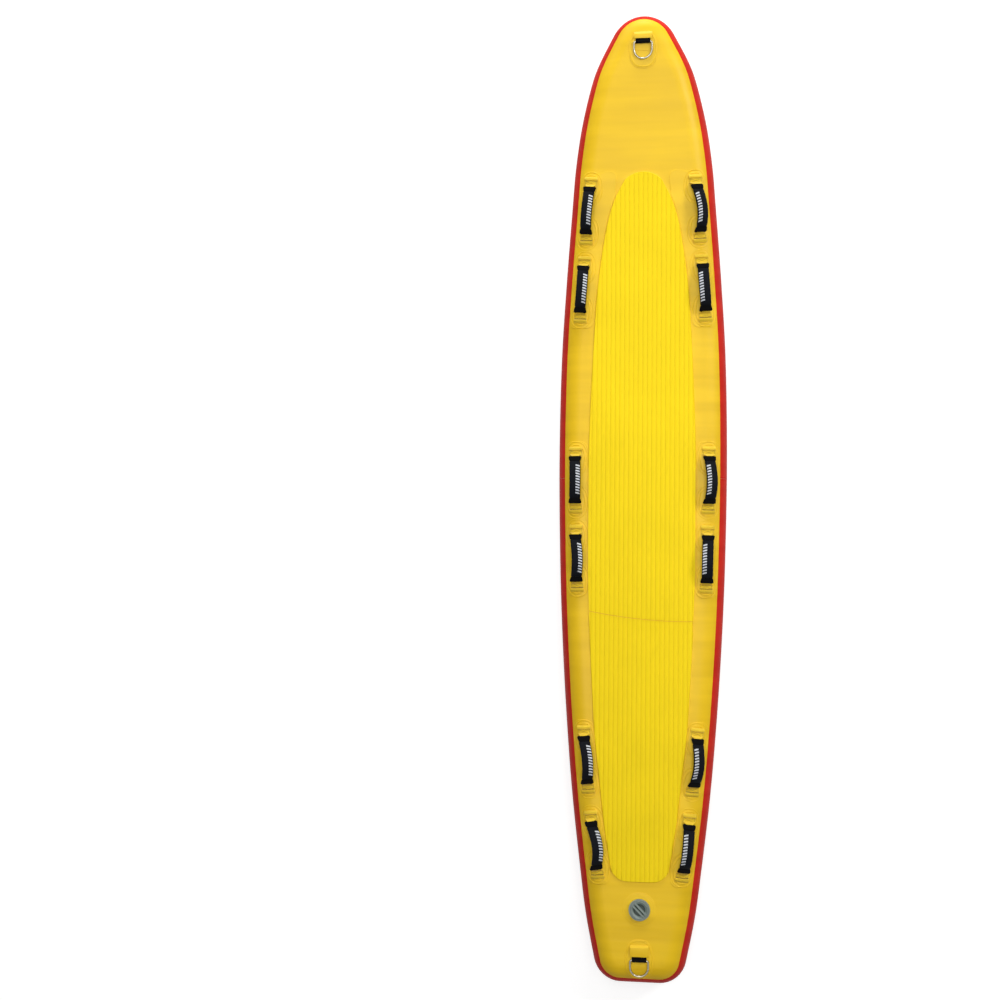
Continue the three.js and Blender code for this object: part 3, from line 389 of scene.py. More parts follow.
def filleted(profile, radius, count=3):
    """A closed profile with each corner rounded, or less where its sides are short."""
    profile = np.asarray(profile, float)
    points = []
    for i, corner in enumerate(profile):
        before, after = profile[i - 1] - corner, profile[(i + 1) % len(profile)] - corner
        reach = min(radius, np.linalg.norm(before) * 0.45, np.linalg.norm(after) * 0.45)
        start = corner + before / np.linalg.norm(before) * reach
        end = corner + after / np.linalg.norm(after) * reach
        for t in np.linspace(0, 1, count + 1):
            points.append((1 - t) ** 2 * start + 2 * t * (1 - t) * corner + t ** 2 * end)
    return np.array(points)


def turned(profile, centre, finish, sides=72, radius=0.35):
    """A closed profile of radius and height, turned about an upright axis that it may start and end on."""
    outer = filleted(profile, radius)
    on_axis = profile[0][0] == 0
    if on_axis:
        step = len(outer) // len(profile)
        outer = np.vstack([profile[0], outer[step:-step], profile[-1]])
    rows = [
        np.stack([
            centre[0] + outer[:, 0] * math.cos(angle), centre[1] + outer[:, 0] * math.sin(angle),
            centre[2] + outer[:, 1],
        ], axis=1) for angle in np.arange(sides) / sides * 2 * math.pi
    ]
    return (*loft(rows, closed=True, looped=not on_axis), finish)


def without(piece, cutter):
    """Cuts a closed piece by another, which is then removed."""
    cut = piece.modifiers.new("cut", "BOOLEAN")
    cut.operation = "DIFFERENCE"
    cut.solver = "EXACT"
    cut.object = cutter
    graph = bpy.context.evaluated_depsgraph_get()
    mesh = bpy.data.meshes.new_from_object(piece.evaluated_get(graph), depsgraph=graph)
    piece.modifiers.clear()
    piece.data = mesh
    bpy.data.objects.remove(cutter)
    mesh.set_sharp_from_angle(angle=math.radians(SHARP))


def drilled(piece, place, radius, low, high, finish, sides=72, rounding=0.35):
    """Drills an upright round hole in a piece, from one height to another."""
    drill = turned([(0, low), (radius, low), (radius, high), (0, high)], place, finish, sides, rounding)
    without(piece, piece_from("drill", [drill], None))


# Materials

def linear(colour):
    """An sRGB hex colour as linear numbers."""
    parts = [int(colour[i:i + 2], 16) / 255 for i in (1, 3, 5)]
    return tuple(c / 12.92 if c <= 0.04045 else ((c + 0.055) / 1.055) ** 2.4 for c in parts) + (1.0,)


def add_node(tree, kind, inputs=None, **settings):
    """Adds a node. An input given as a socket or a node is linked, and any other value is set."""
    node = tree.nodes.new(kind)
    for name, value in settings.items():
        setattr(node, name, value)
    for name, value in (inputs or {}).items():
        if isinstance(value, bpy.types.Node):
            value = value.outputs[0]
        if isinstance(value, bpy.types.NodeSocket):
            tree.links.new(value, node.inputs[name])
        else:
            node.inputs[name].default_value = value
    return node


def new_material(name, **constants):
    """A material with a shader whose constant values are set on its own sockets."""
    material = bpy.data.materials.new(name)
    material.use_nodes = True
    shader = material.node_tree.nodes["Principled BSDF"]
    for socket, value in constants.items():
        shader.inputs[socket.replace("_", " ")].default_value = value
    return material, material.node_tree, shader


def link_shader(tree, shader, **sockets):
    """Links what a material works out to the shader's inputs of those names."""
    for name, socket in sockets.items():
        tree.links.new(socket, shader.inputs[name.replace("_", " ")])


def crossed_threads(tree, place, pitches, operation):
    """A height that waves across and along, as crossing threads do; the pitches are in millimetres."""
    scale = tuple(2000 * math.pi / pitch for pitch in pitches) + (1.0,)
    threads = add_node(tree, "ShaderNodeMapping", {"Vector": place, "Scale": scale})
    parts = add_node(tree, "ShaderNodeSeparateXYZ", {"Vector": threads})
    warp, weft = (add_node(tree, "ShaderNodeMath", {0: parts.outputs[k]}, operation="SINE") for k in "XY")
    return add_node(tree, "ShaderNodeMath", {0: warp, 1: weft}, operation=operation)


def coated_fabric(name, dark, light, roughness, specular):
    """PVC-coated polyester: smooth and slightly glossy, with the weave just felt and soft creases across,
    whose shade is painted into the colour.
    """
    material, tree, shader = new_material(name, IOR=1.53, Specular_IOR_Level=specular)
    place = add_node(tree, "ShaderNodeTexCoord").outputs["Object"]
    creases = add_node(tree, "ShaderNodeMapping", {"Vector": place, "Scale": (2.2, 26.0, 8.0)})
    crease = add_node(tree, "ShaderNodeTexNoise", {
        "Vector": creases, "Scale": 1.0, "Detail": 2.5, "Roughness": 0.45})
    patchy = add_node(tree, "ShaderNodeTexNoise", {"Vector": place, "Scale": 3.0, "Detail": 3.0})
    # The colour follows the creases, mixed with random blotches: painted shade in their hollows and painted
    # highlight on their crowns
    crease_shade_blotch = add_node(tree, "ShaderNodeMath", {0: crease, 1: patchy}, operation="MULTIPLY")
    spread = add_node(tree, "ShaderNodeMapRange", {"Value": crease_shade_blotch, "From Min": 0.15, "From Max": 0.38})
    shade = add_node(tree, "ShaderNodeMix", {0: spread, 6: linear(dark), 7: linear(light)}, data_type="RGBA")
    # The weave of 1 mm threads is drawn at 2 mm so that it shows
    weave = crossed_threads(tree, place, (2.0, 2.0), "MULTIPLY")
    fine = add_node(tree, "ShaderNodeBump", {"Height": weave, "Strength": 0.08, "Distance": 0.0002})
    soft = add_node(tree, "ShaderNodeBump", {
        "Height": crease, "Strength": 0.35, "Distance": 0.004, "Normal": fine})
    gloss = add_node(tree, "ShaderNodeMapRange", {
        "Value": patchy, "From Min": 0.3, "From Max": 0.7,
        "To Min": roughness - 0.05, "To Max": roughness + 0.06})
    link_shader(tree, shader, Base_Color=shade.outputs[2], Normal=soft.outputs[0], Roughness=gloss.outputs[0])
    return material


def closed_foam():
    """Closed-cell EVA foam, routed and brushed: matt, with fine pores, and painted shade of deeper yellow in
    the grooves.
    """
    material, tree, shader = new_material("eva_foam_brushed", IOR=1.45, Specular_IOR_Level=0.3)
    place = add_node(tree, "ShaderNodeTexCoord").outputs["Object"]
    # How far a point is from the middle of the nearest groove, in metres
    pitch = GROOVE_PITCH / 1000
    parts = add_node(tree, "ShaderNodeSeparateXYZ", {"Vector": place})
    shifted = add_node(tree, "ShaderNodeMath", {0: parts.outputs["X"], 1: pitch / 2}, operation="ADD")
    ribs = add_node(tree, "ShaderNodeMath", {0: shifted, 1: pitch}, operation="FLOORED_MODULO")
    middle = add_node(tree, "ShaderNodeMath", {0: ribs, 1: pitch / 2}, operation="SUBTRACT")
    away = add_node(tree, "ShaderNodeMath", {0: middle}, operation="ABSOLUTE")
    groove_shade_mask = add_node(tree, "ShaderNodeMapRange", {"Value": away, "From Min": 0.0009, "From Max": 0.0026})
    # The grooves are painted a deeper yellow: painted shade in the grooves
    ground = add_node(tree, "ShaderNodeMix", {
        0: groove_shade_mask, 6: linear("#F2D014"), 7: linear("#FADA14")}, data_type="RGBA")
    grain = add_node(tree, "ShaderNodeTexNoise", {"Vector": place, "Scale": 900.0, "Detail": 2.0})
    cloud = add_node(tree, "ShaderNodeTexNoise", {"Vector": place, "Scale": 5.0, "Detail": 3.0})
    tone = add_node(tree, "ShaderNodeMapRange", {
        "Value": cloud, "From Min": 0.3, "From Max": 0.7, "To Min": 0.97, "To Max": 1.03})
    toned = add_node(tree, "ShaderNodeVectorMath", {0: ground.outputs[2], "Scale": tone}, operation="SCALE")
    bump = add_node(tree, "ShaderNodeBump", {"Height": grain, "Strength": 0.35, "Distance": 0.0004})
    matt = add_node(tree, "ShaderNodeMapRange", {"Value": grain, "To Min": 0.78, "To Max": 0.92})
    link_shader(tree, shader, Base_Color=toned.outputs[0], Normal=bump.outputs[0], Roughness=matt.outputs[0])
    return material


def woven_webbing(name, dark, light, sheen=0.2, specular=0.3):
    """Woven polyester webbing: cross ribs over bundles of warp, with painted highlight on the crowns and
    painted shade in the gaps.
    """
    material, tree, shader = new_material(
        name, Sheen_Weight=sheen, Sheen_Roughness=0.4, IOR=1.5, Specular_IOR_Level=specular)
    cloth = add_node(tree, "ShaderNodeUVMap", uv_map="cloth")
    # Warp bundles 2.2 mm wide and ribs 1.6 mm apart
    crown = crossed_threads(tree, cloth, (2.2, 1.6), "ADD")
    level = add_node(tree, "ShaderNodeMapRange", {"Value": crown, "From Min": -2.0, "From Max": 2.0})
    fuzz = add_node(tree, "ShaderNodeTexNoise", {"Vector": cloth, "Scale": 500.0, "Detail": 2.0})
    # The colour follows the weave's height: painted highlight on the crowns and painted shade in the gaps,
    # with random fuzz
    blend = add_node(tree, "ShaderNodeMath", {0: level, 1: fuzz}, operation="MULTIPLY")
    spread = add_node(tree, "ShaderNodeMapRange", {"Value": blend, "From Min": 0.05, "From Max": 0.5})
    shade = add_node(tree, "ShaderNodeMix", {0: spread, 6: linear(dark), 7: linear(light)}, data_type="RGBA")
    bump = add_node(tree, "ShaderNodeBump", {"Height": crown, "Strength": 0.5, "Distance": 0.0003})
    matt = add_node(tree, "ShaderNodeMapRange", {"Value": level, "To Min": 0.85, "To Max": 0.62})
    link_shader(tree, shader, Base_Color=shade.outputs[2], Normal=bump.outputs[0], Roughness=matt.outputs[0])
    return material


def knit_neoprene(name, dark, light, roughness):
    """Nylon-lined neoprene: a fine dull knit, near black."""
    material, tree, shader = new_material(name, IOR=1.4, Specular_IOR_Level=0.08)
    cloth = add_node(tree, "ShaderNodeUVMap", uv_map="cloth")
    # Knit rows of 0.7 mm, drawn twice as coarse so that they show
    knit = crossed_threads(tree, cloth, (1.4, 1.4), "ADD")
    worn = add_node(tree, "ShaderNodeTexNoise", {"Vector": cloth, "Scale": 60.0, "Detail": 3.0})
    shade = add_node(tree, "ShaderNodeMix", {0: worn, 6: linear(dark), 7: linear(light)}, data_type="RGBA")
    bump = add_node(tree, "ShaderNodeBump", {"Height": knit, "Strength": 0.3, "Distance": 0.0002})
    matt = add_node(tree, "ShaderNodeMapRange", {
        "Value": worn, "To Min": roughness - 0.08, "To Max": roughness + 0.08})
    link_shader(tree, shader, Base_Color=shade.outputs[2], Normal=bump.outputs[0], Roughness=matt.outputs[0])
    return material


def polished_stainless():
    """Stainless wire, bent, welded and polished: bright, with fine scratches along the wire, and toned dark
    and warm as painted reflection.
    """
    material, tree, shader = new_material("stainless_polished", Metallic=1.0)
    place = add_node(tree, "ShaderNodeTexCoord").outputs["Object"]
    scratches = add_node(tree, "ShaderNodeMapping", {"Vector": place, "Scale": (900.0, 120.0, 900.0)})
    lines = add_node(tree, "ShaderNodeTexNoise", {"Vector": scratches, "Scale": 1.0, "Detail": 3.0})
    # The steel is toned darker and warmer than bare stainless: painted reflection of dark and yellow
    # surroundings
    shade = add_node(tree, "ShaderNodeMix", {
        0: lines, 6: linear("#827C6C"), 7: linear("#AAA491")}, data_type="RGBA")
    gloss = add_node(tree, "ShaderNodeMapRange", {
        "Value": lines, "From Min": 0.3, "From Max": 0.7, "To Min": 0.14, "To Max": 0.28})
    link_shader(tree, shader, Base_Color=shade.outputs[2], Roughness=gloss.outputs[0])
    return material


def moulded_plastic(name, dark, light, roughness, ior=1.52):
    """Injection-moulded plastic: a fine spark-eroded grain and a low, even gloss."""
    material, tree, shader = new_material(name, IOR=ior)
    place = add_node(tree, "ShaderNodeTexCoord").outputs["Object"]
    grain = add_node(tree, "ShaderNodeTexNoise", {"Vector": place, "Scale": 1400.0, "Detail": 2.0})
    cloud = add_node(tree, "ShaderNodeTexNoise", {"Vector": place, "Scale": 35.0, "Detail": 3.0})
    shade = add_node(tree, "ShaderNodeMix", {0: cloud, 6: linear(dark), 7: linear(light)}, data_type="RGBA")
    bump = add_node(tree, "ShaderNodeBump", {"Height": grain, "Strength": 0.2, "Distance": 0.0001})
    gloss = add_node(tree, "ShaderNodeMapRange", {
        "Value": cloud, "To Min": roughness - 0.06, "To Max": roughness + 0.06})
    link_shader(tree, shader, Base_Color=shade.outputs[2], Normal=bump.outputs[0], Roughness=gloss.outputs[0])
    return material


def core_yarns():
    """Drop-stitch polyester, seen only through the valve: matt, pale and a little uneven."""
    material, tree, shader = new_material("polyester_drop_stitch", Roughness=0.9)
    place = add_node(tree, "ShaderNodeTexCoord").outputs["Object"]
    yarns = add_node(tree, "ShaderNodeTexNoise", {"Vector": place, "Scale": 400.0})
    shade = add_node(tree, "ShaderNodeMix", {
        0: yarns, 6: linear("#C9C5B4"), 7: linear("#E4E1D4")}, data_type="RGBA")
    link_shader(tree, shader, Base_Color=shade.outputs[2])
    return material


# Each finish is its material and the record's slot
FINISHES = {
    "deck fabric": (coated_fabric("pvc_fabric_deck", "#E6BB16", "#F3C81C", 0.45, 0.25), "deck_pvc"),
    "patch fabric": (coated_fabric("pvc_fabric_patch", "#E7BC17", "#F4C91D", 0.44, 0.28), "pvc_patch"),
    "rail fabric": (coated_fabric("pvc_fabric_rail", "#CA271B", "#D82F22", 0.5, 0.06), "rail_pvc"),
    "foam": (closed_foam(), "eva_foam"),
    "webbing": (woven_webbing("polyester_webbing_yellow", "#E4BC20", "#F9D83C"), "webbing"),
    "black webbing": (
        woven_webbing("polyester_webbing_black", "#030304", "#0B0B0C", 0.0, 0.05), "black_webbing"),
    "neoprene": (knit_neoprene("neoprene_sleeve", "#050609", "#0C0F16", 0.5), "neoprene"),
    "cuff": (knit_neoprene("neoprene_cuff", "#030304", "#080809", 0.75), "neoprene"),
    "stainless": (polished_stainless(), "stainless"),
    "grey plastic": (moulded_plastic("nylon_moulded_grey", "#6C7872", "#8B9790", 0.5), "grey_plastic"),
    # A darker grey for the valve cap's bowl: painted shade in the recess
    "shaded plastic": (
        moulded_plastic("nylon_moulded_grey_painted_shade", "#36413C", "#47534D", 0.55), "grey_plastic"),
    "black plastic": (moulded_plastic("nylon_moulded_black", "#161615", "#232321", 0.42), "black_plastic"),
    "rubber": (moulded_plastic("silicone_moulded", "#1A1A1A", "#2A2A2A", 0.75, 1.43), "seal_rubber"),
    "red print": (coated_fabric("ink_screened_red", "#A31A22", "#B42430", 0.45, 0.3), "deck_pvc"),
    "white print": (moulded_plastic("ink_transfer_white", "#B4B9BF", "#CDD1D6", 0.5), "neoprene"),
    "thread": (woven_webbing("polyester_thread", "#8C6A12", "#B8922A"), "webbing"),
    # Dark brown thread for the stitch rows across the aft feet: painted shadow
    "painted shadow thread": (woven_webbing("polyester_thread_painted_shadow", "#5E4410", "#7E5E1A"), "webbing"),
}


# Node trees for what repeats or follows a path

def new_tree(name, inputs):
    """A geometry node tree with named inputs."""
    tree = bpy.data.node_groups.new(name, "GeometryNodeTree")
    tree.interface.new_socket("Geometry", in_out="OUTPUT", socket_type="NodeSocketGeometry")
    tree.interface.new_socket("Geometry", in_out="INPUT", socket_type="NodeSocketGeometry")
    for title, kind in inputs.items():
        tree.interface.new_socket(title, in_out="INPUT", socket_type=kind)
    return tree, add_node(tree, "NodeGroupInput").outputs


def end_tree(tree, grown_shape, material):
    """Ends a tree: what it grew is made real, and gets its material."""
    real = add_node(tree, "GeometryNodeRealizeInstances", {"Geometry": grown_shape})
    painted = add_node(tree, "GeometryNodeSetMaterial", {"Geometry": real, "Material": material})
    add_node(tree, "NodeGroupOutput", {0: painted})
    return tree


def stitch_tree():
    """A thread stitch at each step along every path."""
    tree, given = new_tree("stitches_along_paths", {
        "Pitch": "NodeSocketFloat", "Length": "NodeSocketFloat", "Thread": "NodeSocketFloat",
        "Material": "NodeSocketMaterial"})
    seams = add_node(tree, "GeometryNodeMeshToCurve", {"Mesh": given["Geometry"]})
    steps = add_node(tree, "GeometryNodeResampleCurve", {
        "Curve": seams, "Length": given["Pitch"]}, mode="LENGTH")
    tangent = add_node(tree, "GeometryNodeInputTangent")
    turn = add_node(tree, "FunctionNodeAlignRotationToVector", {"Vector": tangent}, axis="Z")
    ball = add_node(tree, "GeometryNodeMeshUVSphere", {"Segments": 6, "Rings": 4, "Radius": 0.5})
    size = add_node(tree, "ShaderNodeCombineXYZ", {
        "X": given["Thread"], "Y": given["Thread"], "Z": given["Length"]})
    stitches = add_node(tree, "GeometryNodeInstanceOnPoints", {
        "Points": steps, "Instance": ball, "Rotation": turn, "Scale": size})
    return end_tree(tree, stitches, given["Material"])


def wire_tree():
    """Round wire along every path."""
    tree, given = new_tree("round_wire_along_paths", {
        "Radius": "NodeSocketFloat", "Sides": "NodeSocketInt", "Material": "NodeSocketMaterial"})
    path = add_node(tree, "GeometryNodeMeshToCurve", {"Mesh": given["Geometry"]})
    section = add_node(tree, "GeometryNodeCurvePrimitiveCircle", {
        "Resolution": given["Sides"], "Radius": given["Radius"]})
    wire = add_node(tree, "GeometryNodeCurveToMesh", {
        "Curve": path, "Profile Curve": section, "Fill Caps": True})
    return end_tree(tree, wire, given["Material"])


STITCHES = stitch_tree()
WIRE = wire_tree()


def grown(name, tree, paths, closed, finish, body, stands_for=(), **sizes):
    """Runs a node tree on paths and keeps what it grows as a plain mesh; sizes are in millimetres."""
    corners, edges = [], []
    for path in paths:
        start = len(corners)
        corners.extend((np.asarray(path, float) / 1000).tolist())
        edges.extend((start + i, start + i + 1) for i in range(len(path) - 1))
        if closed:
            edges.append((len(corners) - 1, start))
    mesh = bpy.data.meshes.new(name + "_paths")
    mesh.from_pydata(corners, edges, [])
    carrier = bpy.data.objects.new(name + "_paths", mesh)
    bpy.context.scene.collection.objects.link(carrier)
    modifier = carrier.modifiers.new("grow", "NODES")
    modifier.node_group = tree
    for socket in tree.interface.items_tree:
        if socket.in_out != "INPUT" or socket.name == "Geometry":
            continue
        if socket.name == "Material":
            modifier[socket.identifier] = FINISHES[finish][0]
        elif socket.name == "Sides":
            modifier[socket.identifier] = sizes["sides"]
        else:
            modifier[socket.identifier] = sizes[socket.name.lower()] / 1000
    graph = bpy.context.evaluated_depsgraph_get()
    result = bpy.data.meshes.new_from_object(carrier.evaluated_get(graph), depsgraph=graph)
    result.name = name
    bpy.data.objects.remove(carrier)
    return placed(result, name, FINISHES[finish][1], body, stands_for, sharp=50)


# Hull

def build_hull():
    """The fabric of the deck and the bottom, and the two bands round the rail."""
    every = np.arange(len(PANEL_EDGE))
    widths = np.linspace(-1, 1, 2 * TAIL_POINTS + 1)
    angles = np.linspace(90, BAND_DEGREES - 5, 13)
    section = [(angle, RAIL_RADIUS) for angle in angles]
    section += [(angle, RAIL_RADIUS - FABRIC) for angle in angles[::-1]]
    for name, node, face in (("deck_fabric", "deck_skin", 1), ("bottom_fabric", "bottom_skin", -1)):
        sheets = [
            np.stack([on_rail(every, side, face * angle, radius) for angle, radius in section], axis=1)
            for side in (1, -1)
        ]
        for radius in (RAIL_RADIUS, RAIL_RADIUS - FABRIC):
            sheets.append([
                [(x * width, y, HULL_MIDDLE + face * radius + rocker(y)) for width in widths]
                for x, y in PANEL_EDGE[TAIL_POINTS:]
            ])
        parts = [(*loft(sheet, looped=False), "deck fabric") for sheet in sheets]
        fabric = piece_from(name, parts, "board", (node,))
        if face > 0:
            drilled(fabric, (0, VALVE_STATION, 0), VALVE_BORE, 100, 200, "deck fabric")

    # The bands meet at a place between two corners of the edge, with a narrow gap
    along = PANEL_EDGE[:, 1]
    after = int(np.argmax(along > BAND_JOINT))
    step = along[after] - along[after - 1]
    joint = after - 1 + (BAND_JOINT - along[after - 1]) / step
    gap = 0.4 / step
    angles = np.linspace(BAND_DEGREES, -BAND_DEGREES, 25)
    section = [(BAND_DEGREES + 0.2, RAIL_RADIUS + 0.3)]
    section += [(angle, RAIL_RADIUS + 0.7) for angle in angles[1:-1]]
    section += [(-BAND_DEGREES - 0.2, RAIL_RADIUS + 0.3)]
    section += [(angle, RAIL_RADIUS - 0.4) for angle in angles[::-1]]
    ends = {
        "bow": np.append(joint + gap, np.arange(after, len(PANEL_EDGE))),
        "stern": np.append(joint - gap, np.arange(after - 1, -1, -1)),
    }
    for end, stations in ends.items():
        rows = [
            np.stack([on_rail(part, side, angle, radius) for angle, radius in section], axis=1)
            for part, side in ((stations, 1), (stations[::-1][1:], -1))
        ]
        band = (*loft(np.vstack(rows)), "rail fabric")
        piece_from(f"rail_fabric_{end}", [band], "board", (f"rail_band_{end}",))


# Deck pad

def groove_profile():
    """Places across the pad and the drop at each: round-edged grooves at an even pitch."""
    half = GROOVE_WIDTH / 2
    slope = [(half + 0.8, 0.0), (half + 0.1, 0.25), (half - 0.5, GROOVE_DEPTH * 0.8)]
    shape = [(-x, drop) for x, drop in slope] + [(0.0, GROOVE_DEPTH)] + slope[::-1]
    places = []
    for number in range(-GROOVES_EACH_SIDE, GROOVES_EACH_SIDE + 1):
        places.extend((number * GROOVE_PITCH + x, drop) for x, drop in shape)
    edges = np.append(np.arange(171.0, 176.9, 0.7), 176.6)
    places.extend((side * x, 0.0) for x in edges for side in (-1, 1))
    return np.array(sorted(places))


def build_pad():
    """Two sheets of foam with lengthwise grooves and a bevelled edge, which meet at a curved joint."""
    places = groove_profile()
    x, drop = places[:, 0], places[:, 1]
    widest = PAD_EDGE[:, 0].argmax()
    aft_edge, fore_edge = PAD_EDGE[TAIL_POINTS:widest + 1], PAD_EDGE[widest:]
    aft_end = np.interp(np.abs(x), aft_edge[:, 0], aft_edge[:, 1])
    fore_end = np.interp(-np.abs(x), -fore_edge[:, 0], fore_edge[:, 1])
    a, b, c = (np.array(point) for point in PAD_JOINT)
    t = np.linspace(0, 1, 40)[:, None]
    bend = (1 - t) ** 2 * a + 2 * t * (1 - t) * b + t ** 2 * c
    joint = np.interp(x, bend[:, 0], bend[:, 1])
    behind = aft_end < joint - 3.0
    half_gap = PAD_JOINT_GAP / 2
    # Each sheet has its columns, its two ends, its rows, and which end is bevelled and which way that faces
    for end, columns_of, low, high, count, free, facing in (
        ("fore", slice(None), np.maximum(joint + half_gap, aft_end), fore_end, 64, -1, 1),
        ("aft", behind, aft_end, joint - half_gap, 40, 0, -1),
    ):
        low, high = low[columns_of, None], high[columns_of, None]
        y = low + (high - low) * np.linspace(0, 1, count + 1)
        columns, size = y.shape
        plan = np.stack([np.repeat(x[columns_of, None], size, 1), y], axis=-1)
        height = CLEAR + PAD_THICKNESS - np.repeat(drop[columns_of, None], size, 1)
        base_plan = plan.copy()
        slope = np.gradient(plan[:, free, 1], plan[:, free, 0])
        normal = np.stack([-slope, np.ones_like(slope)], axis=1) * facing
        normal /= np.linalg.norm(normal, axis=1)[:, None]
        base_plan[:, free] += normal * PAD_EDGE_SLOPE
        under = over_flat(base_plan.reshape(-1, 2), CLEAR)
        surface = over_flat(plan.reshape(-1, 2), height.ravel())
        surface, quads = loft(surface.reshape(columns, size, 3), looped=False)
        total = len(surface)
        faces = []
        for quad in quads:
            faces += [quad, tuple(total + k for k in reversed(quad))]
        ring = [i * size for i in range(columns)] + [(columns - 1) * size + j for j in range(1, size)]
        ring += [i * size + size - 1 for i in range(columns - 2, -1, -1)] + list(range(size - 2, 0, -1))
        faces += [(ring[i], ring[j], total + ring[j], total + ring[i]) for i, j in loop_edges(len(ring))]
        sheet = (np.vstack([surface, under]), faces, "foam")
        pad = piece_from(f"foam_pad_{end}", [sheet], "board", (f"deck_pad_{end}",), sharp=50)


def over_flat(plan, height):
    """Points at a height over the flat middle of the deck."""
    height = np.broadcast_to(height, len(plan))
    z = DECK_HEIGHT + height + rocker(plan[:, 1])
    return np.stack([plan[:, 0], plan[:, 1], z], axis=1)


# Handles

def round_patch(length, width, fullness, centre):
    """A patch's outline, fuller than an ellipse, counterclockwise."""
    t = np.arange(72) / 72 * 2 * math.pi
    across = width / 2 * np.sign(np.cos(t)) * np.abs(np.cos(t)) ** fullness
    return np.stack([across, centre + length / 2 * np.sin(t)], axis=1)


class Handle:
    """Where one handle stands: its plan on the deck and the frame of its leaning grip."""

    def __init__(self, side, number, station):
        self.side = 1 if side == "starboard" else -1
        self.name = f"{side}_{number}"
        self.body = f"handle_{side}_{number}"
        fore, aft = (half_width(PANEL_EDGE, station + reach) for reach in (PATCH_LENGTH, -PATCH_LENGTH))
        along = np.array([self.side * (fore - aft) / (2 * PATCH_LENGTH), 1.0])
        self.along = along / np.linalg.norm(along)
        self.across = np.array([self.along[1], -self.along[0]])
        inward = half_width(PANEL_EDGE, station) + RAIL_RADIUS - HANDLE_INSET
        self.middle = np.array([self.side * inward, station])
        near = 2.4
        self.origin, ahead, behind, right, left = self.on_deck(
            [(0, 0), (0, near), (0, -near), (near, 0), (-near, 0)], 0)
        forward = (ahead - behind) / np.linalg.norm(ahead - behind)
        up = np.cross(right - left, forward)
        self.up = up / np.linalg.norm(up)
        beside = np.cross(forward, self.up)
        lean = math.radians(self.side * LEANS[side][number - 1])
        self.sway = SWAY * self.side * LEANS[side][number - 1]
        self.axes = np.stack([
            beside * math.cos(lean) - self.up * math.sin(lean), forward,
            beside * math.sin(lean) + self.up * math.cos(lean),
        ])
        self.pivot = self.origin + self.up * GRIP_END_HEIGHT

    def on_deck(self, flat, height):
        """Points over the deck, from places across and along the handle."""
        flat = np.asarray(flat, float)
        plan = self.middle + flat[:, :1] * self.across + flat[:, 1:2] * self.along
        return over_hull(plan, height)

    def in_arch(self, local):
        """Points given across, along and up from the grip's own base."""
        local = np.asarray(local, float) - (0, 0, GRIP_END_HEIGHT)
        share = np.clip(local[..., 1] / GRIP_HALF_LENGTH, -1, 1)
        local[..., 0] += self.sway * (1 - share ** 2) ** 2
        return self.pivot + local @ self.axes


def arch_height(l):
    """The height of the grip's middle line, which sags a little towards the tail."""
    rise = GRIP_MID_HEIGHT - GRIP_END_HEIGHT
    share = np.clip(np.asarray(l, float) / GRIP_HALF_LENGTH, -1, 1)
    share = share + GRIP_SKEW / GRIP_HALF_LENGTH * (1 - share ** 2)
    return GRIP_END_HEIGHT + rise * (1 - share ** 2)


def sleeve_section(l, width, height):
    """A soft rectangle round the grip's middle line, square to it in plan."""
    angle = np.arange(SLEEVE_SIDES) / SLEEVE_SIDES * 2 * math.pi
    x = width / 2 * np.sign(np.cos(angle)) * np.abs(np.cos(angle)) ** SLEEVE_FULLNESS
    z = height / 2 * np.sign(np.sin(angle)) * np.abs(np.sin(angle)) ** SLEEVE_FULLNESS
    return np.stack([x, np.full(SLEEVE_SIDES, l), arch_height(l) + z], axis=1)


def sleeve_size(l):
    """The width and the thickness of the sleeve: drawn in beside the cuffs, and flared in them."""
    reach = abs(l)
    cuff = GRIP_HALF_LENGTH - CUFF_LENGTH
    if reach > cuff:
        flare = ((reach - cuff) / CUFF_LENGTH) ** 0.8
        rounded = max(0.0, 1 - (GRIP_HALF_LENGTH - reach) / 4.0) ** 2
        return CUFF_SIZE[0] + 8.0 * flare - 7.0 * rounded, CUFF_SIZE[1] + 0.4 * flare - 1.5 * rounded
    pinch = max(0.0, 1 - (cuff - reach) / 7) ** 2
    ripple = 0.3 * math.sin(l / 2.9) + 0.25 * math.sin(l / 1.7 + 1)
    return SLEEVE_SIZE[0] - 1.2 * pinch + ripple, SLEEVE_SIZE[1] - 1.5 * pinch + 0.6 * ripple


def build_grip(handle):
    """A padded sleeve with a flared cuff at each end, round the folded webbing."""
    parts = []
    cuff = GRIP_HALF_LENGTH - CUFF_LENGTH
    # Each span has its finish, its ends, its sections, how proud it stands and how wide its tunnel is
    spans = (
        ("neoprene", -cuff, cuff, 46, 0.0, 29.0),
        ("cuff", -GRIP_HALF_LENGTH, -cuff - 0.05, 9, 0.35, 29.4),
        ("cuff", cuff + 0.05, GRIP_HALF_LENGTH, 9, 0.35, 29.4),
    )
    for finish, start, end, count, proud, tunnel in spans:
        outer, inner = [], []
        for l in np.linspace(start, end, count):
            width, height = sleeve_size(l)
            rounded = 0.9 * max(0, 1 - min(l - start, end - l) / 1.2) ** 2
            grow = 2 * (proud - rounded)
            outer.append(sleeve_section(l, width + grow, height + grow))
            inner.append(sleeve_section(l, tunnel, 7.0))
        walls = np.array(outer + inner[::-1]).transpose(1, 0, 2)
        corners, faces = loft(walls, closed=True)
        girth = np.repeat(np.arange(SLEEVE_SIDES) / SLEEVE_SIDES * SLEEVE_GIRTH, 2 * count)
        cloth = np.stack([girth, corners[:, 1]], axis=1)
        parts.append((handle.in_arch(corners), faces, finish, cloth))
    for mark in range(MARKS):
        parts.append(print_mark(handle, mark))
    grip = piece_from(f"sleeve_{handle.name}", parts, handle.body, (f"grip_{handle.name}",))


